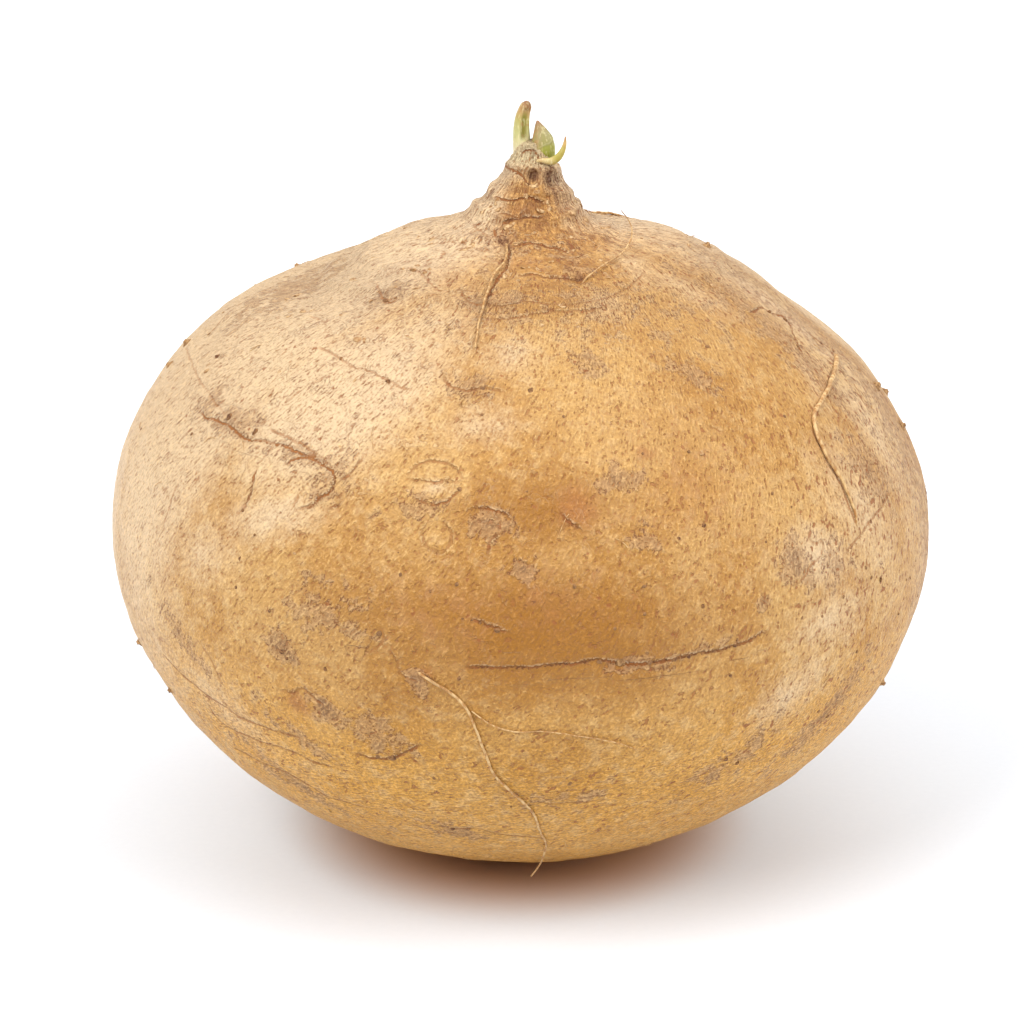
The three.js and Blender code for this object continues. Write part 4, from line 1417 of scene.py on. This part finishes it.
def curled_section(share, turn):
    """A leaf rolled on itself: a groove up its front, with a lip at each side, and faint ribs."""
    beside_groove = from_front(turn, GROOVE_FACING)
    groove = (1 - smooth(beside_groove, 0.28, 0.55)) * smooth(share, 0.42, 0.52) * (1 - smooth(share, 0.9, 0.98))
    lip = bump(beside_groove - 0.72, 0.2) * smooth(share, 0.42, 0.55)
    ribs = 0.025 * np.cos(9 * turn + 3 * share)
    cuff = 0.07 * bump(share - 0.4, 0.03) * (0.5 + 0.5 * np.cos(turn - 0.9))
    return 1 - 0.34 * groove + 0.08 * lip + ribs + cuff


def bud_rim(turn):
    """How far along the bud its outer scale ends, lower at the left."""
    return 0.47 + 0.09 * np.cos(turn - 1.5) + 0.015 * np.cos(5 * turn)


def bud_section(share, turn):
    """An outer scale that ends in a rim over an inner one, and a keel down the right."""
    rim = bud_rim(turn)
    outer = 0.07 * smooth(share - rim, -0.012, 0.02) * (1 - smooth(share, 0.55, 0.95))
    keel = 0.06 * bump(from_front(turn, 1.1), 0.25) * smooth(share, 0.3, 0.7)
    ribs = 0.015 * np.cos(11 * turn)
    return 0.96 + outer + keel + ribs


def hooked_section(share, turn):
    """Flattened from front to back, with a keel on its lower side."""
    return 1 - 0.12 * np.cos(turn) ** 2 + 0.08 * bump(from_front(turn, 4.7), 0.5)


SHOOTS = {
    "curled_shoot": (54, 36, curled_section, [
        (-1.3, 0.4, 7.7, 1.4), (-1.6, 0.4, 10.2, 1.56), (-1.85, 0.55, 12.6, 1.46), (-1.95, 0.9, 15.0, 1.32),
        (-1.8, 1.1, 16.8, 1.18), (-1.5, 1.15, 18.0, 1.04), (-1.15, 1.0, 18.9, 0.9), (-0.95, 0.75, 19.4, 0.5)]),
    "green_bud": (54, 40, bud_section, [
        (1.3, -0.2, 9.0, 1.25), (1.6, -0.3, 10.6, 1.9), (1.65, -0.3, 12.0, 2.02), (1.5, -0.3, 13.3, 1.8),
        (1.2, -0.3, 14.6, 1.3), (0.85, -0.3, 15.8, 0.7), (0.65, -0.3, 16.6, 0.2)]),
    "hooked_shoot": (48, 20, hooked_section, [
        (0.6, -2.75, 10.4, 0.24), (1.4, -3.15, 10.6, 0.36), (2.2, -3.3, 10.5, 0.5), (3.1, -3.3, 10.55, 0.64),
        (4.0, -3.2, 11.1, 0.6), (4.7, -3.1, 12.1, 0.46), (5.1, -3.0, 13.3, 0.3), (5.2, -2.9, 14.5, 0.1)]),
}

# %% The shoots' finishes
# Each shoot's colours from its foot to its tip, and the colour of its fold, which on the bud is a painted highlight
# along its scale's rim.
SHOOT_COLOURS = {
    "curled_shoot": ([(0.0, rgb(206, 180, 140)), (0.36, rgb(206, 192, 150)), (0.55, rgb(182, 178, 118)),
                      (0.74, rgb(172, 160, 92)), (0.88, rgb(176, 140, 86)), (1.0, rgb(130, 86, 44))],
                     rgb(128, 118, 28)),
    "green_bud": ([(0.0, rgb(124, 124, 34)), (0.3, rgb(142, 142, 44)), (0.45, rgb(148, 148, 62)),
                   (0.52, rgb(142, 136, 74)), (0.75, rgb(150, 138, 88)), (1.0, rgb(146, 106, 70))],
                  rgb(190, 184, 132)),
    "hooked_shoot": ([(0.0, rgb(196, 162, 112)), (0.25, rgb(194, 172, 116)), (0.45, rgb(164, 148, 62)),
                      (0.7, rgb(172, 156, 76)), (0.86, rgb(188, 154, 92)), (1.0, rgb(160, 112, 66))],
                     rgb(216, 204, 150)),
}


def shoot_finish(name):
    material, tree, shader = new_finish(name + "_skin")
    stops, fold_or_highlight_colour = SHOOT_COLOURS[name]
    place = in_mm(tree)
    share, fold, husk = attribute(tree, "growth").parts()
    veins = noise_at(place.stretched(1.0, 1.0, 0.3), 2.6, 2.0)
    blotch = noise_at(place, 0.9, 2.0)
    drift = share + (blotch - 0.5) * 0.16
    colour = Wire.node(tree, "ShaderNodeValToRGB", {"stops": stops}, {"Fac": drift})
    colour = (fold * 0.9).blend(colour, fold_or_highlight_colour)
    colour = (veins.rise(0.5, 0.68) * 0.45).blend(colour, rgb(216, 206, 158))
    colour = (blotch.rise(0.6, 0.72) * 0.5).blend(colour, rgb(170, 126, 76))
    colour = (husk * veins.rise(0.4, 0.55)).blend(colour, rgb(164, 118, 72))
    finish_with(shader, colour, 0.42 + veins * 0.2, veins * 0.1 + blotch * 0.08)
    shader.inputs["Subsurface Weight"].default_value = 0.15
    shader.inputs["Subsurface Radius"].default_value = (0.8, 0.6, 0.2)
    shader.inputs["Subsurface Scale"].default_value = MM
    return material


def fold_or_highlight_of(name, share, turn):
    """Where the colour of a shoot's fold shows, and on the bud a painted highlight along its outer scale's rim."""
    if name == "curled_shoot":
        along = smooth(share, 0.44, 0.54) * (1 - smooth(share, 0.78, 0.9))
        return (1 - smooth(from_front(turn, GROOVE_FACING), 0.3, 0.5)) * along
    if name == "green_bud":
        # On the bud, a painted highlight along the outer scale's rim.
        return 0.7 * bump(share - bud_rim(turn) - 0.015, 0.018)
    return bump(from_front(turn, 1.57), 0.5) * 0.6


def husk_of(name, share, turn):
    """Where a dry husk still clings to a shoot, between the tall one and the bud."""
    if name == "green_bud":
        return bump(from_front(turn, 5.1), 0.8) * smooth(share, 0.15, 0.3) * (1 - smooth(share, 0.8, 0.95))
    if name == "curled_shoot":
        return 0.8 * bump(from_front(turn, 1.2), 0.8) * bump(share - 0.34, 0.14)
    return 0 * share


shoots = {}
for name, (rows, sectors, section, middles) in SHOOTS.items():
    points, faces, marks = swept(middles, rows, sectors, section)
    shoots[name] = mesh_object("fine_" + name, points, faces, shoot_finish(name))
    growth = np.stack([marks[:, 0], fold_or_highlight_of(name, *marks.T), husk_of(name, *marks.T)], axis=1)
    add_vectors(shoots[name].data, "growth", growth)
    print(name, "reaches", np.round(points.max(axis=0), 2))

# %% [markdown]
# ## Specks and scabs
#
# The skin breathes through corky specks, and where it was hurt it has healed with a scab. Both are low, ragged
# crusts. The material could paint them, and does so for the smallest, but the larger ones stand up far enough to
# have an edge. One tree makes a crust from a low cone and breaks its outline with noise. For specks it scatters
# them over the skin, more thickly where the skin's own attribute says so, and for scabs it takes them from a list.

# %% The crusts' finish
crust_finish, tree, shader = new_finish("crust")
place = in_mm(tree)
crumb = noise_at(place, 2.2, 2.0)
tone = noise_at(place, 0.05, 1.0)
colour = crumb.rise(0.36, 0.62).blend(rgb(88, 50, 22), rgb(138, 96, 54))
colour = (tone.rise(0.42, 0.62) * 0.5).blend(colour, rgb(146, 108, 68))
finish_with(shader, colour, 0.7, crumb * 0.3)

# %% Scatter copies over the skin


def above_floor(tree):
    """0 where the root stands on the floor, so that nothing grows there, and 1 higher up."""
    _, _, level = position(tree).parts()
    return level.rise(1.5 * MM, 3.0 * MM)


def scattered_over(tree, given, share):
    """Points on the mesh that comes in, thickest where the share is 1, and the way that it faces at each."""
    spots = Wire.node(tree, "GeometryNodeDistributePointsOnFaces", None, {
        "Mesh": given["Geometry"], "Density": share * given["Per Square Metre"], "Seed": given["Seed"]}, None)
    return Wire(spots.outputs["Points"]), Wire(spots.outputs["Rotation"])


def mostly_small(tree, smallest, largest, seed, power):
    """A random size for each point. The higher the power, the rarer are the large ones."""
    luck = Wire.node(tree, "FunctionNodeRandomValue", {"data_type": "FLOAT"}, {"Seed": seed}, 1)
    share = luck
    for _ in range(power - 1):
        share = share * luck
    return share * (largest - smallest) + smallest


def turned_by(tree, facing, turn):
    values = {"Rotation": facing, "Rotate By": turn}
    return Wire.node(tree, "FunctionNodeRotateRotation", {"rotation_space": "LOCAL"}, values)


def spun(tree, facing):
    """The same facing, turned about itself by any angle."""
    angles = {2: 0.0, 3: 2 * math.pi, "Seed": 3}
    spin = Wire.node(tree, "FunctionNodeRandomValue", {"data_type": "FLOAT"}, angles, 1)
    turn = Wire.node(tree, "FunctionNodeAxisAngleToRotation", None, {"Axis": (0, 0, 1), "Angle": spin})
    return turned_by(tree, facing, turn)


def copied(tree, shape, points, facing, size):
    """A shape on each point, made real, so that every copy can be bent in its own way."""
    copies = Wire.node(tree, "GeometryNodeInstanceOnPoints", None, {
        "Points": points, "Instance": shape, "Rotation": facing, "Scale": size})
    return Wire.node(tree, "GeometryNodeRealizeInstances", None, {"Geometry": copies})


# %% The crusts' trees


def crust_tree(name, scattered):
    """A tree that sets a ragged crust on each point of a mesh, or on points that it scatters over a mesh."""
    tree, given = new_tree(name, {
        "Per Square Metre": ("NodeSocketFloat", 12000.0),
        "Seed": ("NodeSocketInt", 4),
        "Smallest": ("NodeSocketFloat", 0.14 * MM),
        "Largest": ("NodeSocketFloat", 0.42 * MM),
        "Raggedness": ("NodeSocketFloat", 0.5 * MM),
        "Height": ("NodeSocketFloat", 0.3),
    })
    cone = Wire.node(tree, "GeometryNodeMeshCone", None, {
        "Vertices": 9, "Side Segments": 2, "Radius Top": 0.5, "Radius Bottom": 1.0, "Depth": given["Height"]}, "Mesh")
    sunk = Wire.node(tree, "GeometryNodeTransform", None, {"Geometry": cone, "Translation": (0, 0, -0.1)})
    if scattered:
        _, speckle, _ = stored(tree, "cover").parts()
        points, turned_up = scattered_over(tree, given, speckle * speckle * above_floor(tree))
        size = mostly_small(tree, given["Smallest"], given["Largest"], seed=given["Seed"], power=3)
    else:
        points = Wire.node(tree, "GeometryNodeMeshToPoints", None, {"Mesh": given["Geometry"]})
        facing = stored(tree, "facing")
        turned_up = Wire.node(tree, "FunctionNodeAlignRotationToVector", {"axis": "Z"}, {"Vector": facing})
        size = stored(tree, "size", "FLOAT")
    crusts = copied(tree, sunk, points, turned_up, size)
    ragged = pushed(tree, crusts, either_way(tree, 900.0, 2.0).dimmed(given["Raggedness"]))
    end_tree(tree, ragged, crust_finish)
    return tree


# Scabs that are seen: the place in the frame, and the half-width in mm.
SEEN_SCABS = [
    (229, 416, 0.9), (254, 431, 0.8), (246, 436, 0.5), (483, 387, 0.7), (531, 390, 0.8), (503, 667, 0.5),
    (600, 663, 0.6), (622, 664, 0.9), (651, 663, 0.6), (675, 661, 0.5), (690, 657, 0.7), (716, 652, 0.5),
    (737, 646, 0.5), (391, 760, 1.1), (377, 758, 0.5), (239, 558, 0.6), (235, 587, 0.55), (217, 356, 0.7),
    (459, 678, 0.6), (570, 785, 0.6), (704, 525, 0.6), (823, 616, 0.55), (400, 574, 0.45), (430, 591, 0.4),
    (457, 584, 0.5), (575, 586, 0.5), (645, 586, 0.5), (704, 607, 0.45), (780, 540, 0.45), (732, 677, 0.5),
    (803, 618, 0.4), (845, 596, 0.5), (882, 580, 0.5), (907, 580, 0.45), (899, 614, 0.4), (858, 652, 0.5),
    (816, 586, 0.4), (434, 780, 0.5), (495, 781, 0.45), (549, 641, 0.4), (379, 634, 0.6), (564, 416, 0.4),
    (643, 453, 0.4), (688, 451, 0.35), (615, 629, 0.4), (190, 433, 0.5), (254, 535, 0.4), (324, 670, 0.45),
    (259, 740, 0.4), (773, 493, 0.4), (792, 507, 0.4), (427, 678, 0.6), (472, 619, 0.55), (480, 624, 0.45),
    (497, 632, 0.7), (242, 510, 0.5), (867, 568, 0.6), (873, 578, 0.5), (786, 319, 0.7), (771, 310, 0.5),
    (799, 345, 0.5), (463, 618, 0.4), (405, 755, 0.6), (280, 652, 0.7), (285, 660, 0.5), (738, 640, 0.4),
    (835, 350, 0.5), (822, 342, 0.5), (708, 345, 0.4), (664, 300, 0.4), (340, 357, 0.5), (387, 380, 0.6),
    (384, 299, 0.7), (395, 297, 0.5), (511, 808, 0.4), (452, 830, 0.6), (467, 831, 0.5), (726, 760, 0.6),
    (738, 764, 0.5), (820, 712, 0.7), (829, 718, 0.5), (885, 500, 0.5), (872, 521, 0.5),
]
# A scab's cone starts from this much of its half-width, before noise breaks its outline.
CONE_SHARE = 0.75


def scab_carrier():
    spots = np.array([seen(x, y) for x, y, _ in SEEN_SCABS])
    nearest = [int(np.argmin(((base - spot) ** 2).sum(axis=1))) for spot in spots]
    spots += base_normals[nearest] * fine[nearest][:, None]
    mesh = bpy.data.meshes.new("scab_places")
    mesh.from_pydata((spots * MM).tolist(), [], [])
    add_vectors(mesh, "facing", base_normals[nearest])
    add_numbers(mesh, "size", np.array([half * CONE_SHARE for _, _, half in SEEN_SCABS]) * MM)
    return mesh


specks = grown("specks", tuber.data, crust_tree("crusts_over_skin", True))
scab_sizes = {"Height": 0.42, "Raggedness": 0.75 * MM}
scabs = grown("scabs", scab_carrier(), crust_tree("crusts_on_points", False), scab_sizes)

# %% [markdown]
# ## Flakes
#
# The outermost layer of the skin dries and comes away in flakes the size of a grain of rice, and on the neck in
# thicker scales of bark. A flake could be a bent plane, but a sheet without thickness has no edge to catch the
# light, so the tree bends a thin box, sets it on the skin with one edge sunk, and lets noise tear its outline.

# %% The flakes' finish
flake_finish, tree, shader = new_finish("dry_flake")
place = in_mm(tree)
fibre = noise_at(place.stretched(1.0, 1.0, 0.7), 1.8, 2.0)
tone = noise_at(place, 0.12, 1.0)
colour = fibre.rise(0.36, 0.66).blend(rgb(148, 104, 58), rgb(208, 172, 124))
colour = (tone.rise(0.45, 0.6) * 0.5).blend(colour, rgb(160, 118, 72))
finish_with(shader, colour, 0.6, fibre * 0.25)

# %% The flakes' tree
tree, given = new_tree("flakes_over_skin", {
    "Per Square Metre": ("NodeSocketFloat", 26000.0),
    "On Bark": ("NodeSocketFloat", 0.0),
    "Seed": ("NodeSocketInt", 11),
    "Smallest": ("NodeSocketFloat", 0.6 * MM),
    "Largest": ("NodeSocketFloat", 2.2 * MM),
    "Thickness": ("NodeSocketFloat", 0.07),
    "Lift": ("NodeSocketFloat", 0.09),
    "Tear": ("NodeSocketFloat", 0.4 * MM),
})
thin = Wire.node(tree, "ShaderNodeCombineXYZ", None, {0: 1.0, 1: 0.62, 2: given["Thickness"]})
box = Wire.node(tree, "GeometryNodeMeshCube", None, {"Size": thin, "Vertices X": 4, "Vertices Y": 3, "Vertices Z": 2},
                "Mesh")
x, y, _ = position(tree).parts()
curl = x * x * 0.35 - y * y * 0.25 - 0.04
bent = pushed(tree, box, Wire.node(tree, "ShaderNodeCombineXYZ", None, {1: x * x * y * -1.6, 2: curl}))
flakiness, _, barkiness = stored(tree, "cover").parts()
where = flakiness * flakiness * (1 - given["On Bark"]) + barkiness * barkiness * given["On Bark"]
points, facing = scattered_over(tree, given, where * above_floor(tree))
tilt = Wire.node(tree, "FunctionNodeAxisAngleToRotation", None, {"Axis": (0, 1, 0), "Angle": given["Lift"]})
facing = turned_by(tree, spun(tree, facing), tilt)
size = mostly_small(tree, given["Smallest"], given["Largest"], seed=8, power=2)
scales = copied(tree, bent, points, facing, size)
torn = pushed(tree, scales, either_way(tree, 800.0, 2.0).dimmed(given["Tear"]))
end_tree(tree, torn, flake_finish)
flakes = grown("skin_flakes", tuber.data, tree)
bark_scales = grown("bark_scales", tuber.data, tree, {
    "Per Square Metre": 50000.0, "On Bark": 1.0, "Seed": 5, "Smallest": 0.8 * MM, "Largest": 2.6 * MM,
    "Thickness": 0.07, "Lift": 0.06, "Tear": 0.5 * MM})

# %% [markdown]
# ## Hairs
#
# A few hair roots, thinner than a sewing thread, still cling to the skin, most of them low down and near the neck.
# Blender has hair curves for a whole pelt. For so few, a bent curve swept into a thin mesh is simpler, and it stays
# a mesh like everything else.

# %% The hairs' tree
HAIR_SWAY = 0.8 * MM
# None grows this near to the girth, where it would stand out furthest. Further off, they come in softly.
BARE_BESIDE_GIRTH = 8 * MM
FULL_BESIDE_GIRTH = 14 * MM
tree, given = new_tree("hairs_over_skin", {
    "Per Square Metre": ("NodeSocketFloat", 2600.0),
    "Seed": ("NodeSocketInt", 21),
    "Thickness": ("NodeSocketFloat", 0.11 * MM),
    "Shortest": ("NodeSocketFloat", 1.2 * MM),
    "Longest": ("NodeSocketFloat", 4.2 * MM),
})
bow = Wire.node(tree, "GeometryNodeCurveQuadraticBezier", None, {
    "Resolution": 6, "Start": (0, 0, -0.05), "Middle": (0.5, 0.12, 0.16), "End": (1.0, -0.1, -0.02)})
ring = Wire.node(tree, "GeometryNodeCurvePrimitiveCircle", None, {"Resolution": 4, "Radius": 0.5})
_, _, level = position(tree).parts()
off_girth = abs(level - GIRTH_LEVEL * MM).rise(BARE_BESIDE_GIRTH, FULL_BESIDE_GIRTH)
points, facing = scattered_over(tree, given, above_floor(tree) * off_girth)
length = mostly_small(tree, given["Shortest"], given["Longest"], seed=8, power=2)
strands = copied(tree, bow, points, spun(tree, facing), length)
swung = pushed(tree, strands, either_way(tree, 300.0, 1.0).dimmed(HAIR_SWAY))
thread = Wire.node(tree, "GeometryNodeCurveToMesh", None, {
    "Curve": swung, "Profile Curve": ring, "Scale": given["Thickness"], "Fill Caps": True})
end_tree(tree, thread, thread_finish)
hairs = grown("hair_roots", tuber.data, tree)

# %% [markdown]
# ## Floor and light
#
# The root rests on plain white card. A backdrop could curve up behind it, but from this height the floor already
# fills the view. The light is soft and comes from the upper left, with a weaker one at the right, and the white
# floor throws light back under the belly. Lamps near the root would light the floor unevenly. Sun lights reach all
# of it alike, and the wider a sun is, the softer its shadow.

# %% Floor
FLOOR_HALF = 3000.0
CARD_DIM = (0.75, 0.775, 0.815, 1)
CARD_BRIGHT = (0.77, 0.795, 0.835, 1)
# Close to the root the card is painted a darker warm brown, as the root's contact shadow and the colour it throws
# back, between these two distances in mm from the middle.
CARD_PAINTED_SHADE = (0.64, 0.38, 0.22, 1)
PAINTED_SHADE_OUTSIDE = 44.0
PAINTED_SHADE_INSIDE = 22.0
floor = mesh_object("floor", [(-FLOOR_HALF, -FLOOR_HALF, 0), (FLOOR_HALF, -FLOOR_HALF, 0),
                              (FLOOR_HALF, FLOOR_HALF, 0), (-FLOOR_HALF, FLOOR_HALF, 0)], [(0, 1, 2, 3)])
card, tree, shader = new_finish("white_card")
fibre = noise_at(in_mm(tree), 0.8, 2.0)
tone = fibre.rise(0.0, 1.0).blend(CARD_DIM, CARD_BRIGHT)
x, y, _ = in_mm(tree).parts()
far = x.maths("SQRT", x * x + y * y)
# Painted warm shadow round the root's foot.
tone = far.rise(PAINTED_SHADE_OUTSIDE, PAINTED_SHADE_INSIDE).blend(tone, CARD_PAINTED_SHADE)
finish_with(shader, tone, 0.85, fibre * 0.01, specular=0.1)
floor.data.materials.append(card)

# %% Lights
# Each light: the way it shines, how wide it is in degrees, and its strength.
LIGHTS = {
    "key": ((0.6, 0.45, -0.65), 40, 2.7),
    "right": ((-0.75, 0.35, -0.55), 40, 2.1),
    "overhead": ((-0.08, -0.3, -1), 100, 2.0),
}
WORLD_LIGHT = 0.33
for name, (way, width, strength) in LIGHTS.items():
    light = bpy.data.lights.new(name, "SUN")
    light.angle = math.radians(width)
    light.energy = strength
    lamp = bpy.data.objects.new(name, light)
    lamp.rotation_euler = Vector(way).to_track_quat("-Z", "Y").to_euler()
    bpy.context.scene.collection.objects.link(lamp)
world = bpy.data.worlds.new("studio")
world.use_nodes = True
world.node_tree.nodes["Background"].inputs["Color"].default_value = (1, 1, 1, 1)
world.node_tree.nodes["Background"].inputs["Strength"].default_value = WORLD_LIGHT
bpy.context.scene.world = world
bpy.context.scene.view_settings.view_transform = "Standard"

# %% Hand the pieces over
# Each piece, the name of its material's slot, which is not used here, and the node that it stands for.
on_tuber = [tuber, rootlets, stubs, specks, scabs, flakes, bark_scales, hairs]
pieces = [(piece, "skin", "tuber") for piece in on_tuber]
pieces += [(piece, name, name) for name, piece in shoots.items()]
for piece, slot, node in pieces:
    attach(piece, "root")
    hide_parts(node)
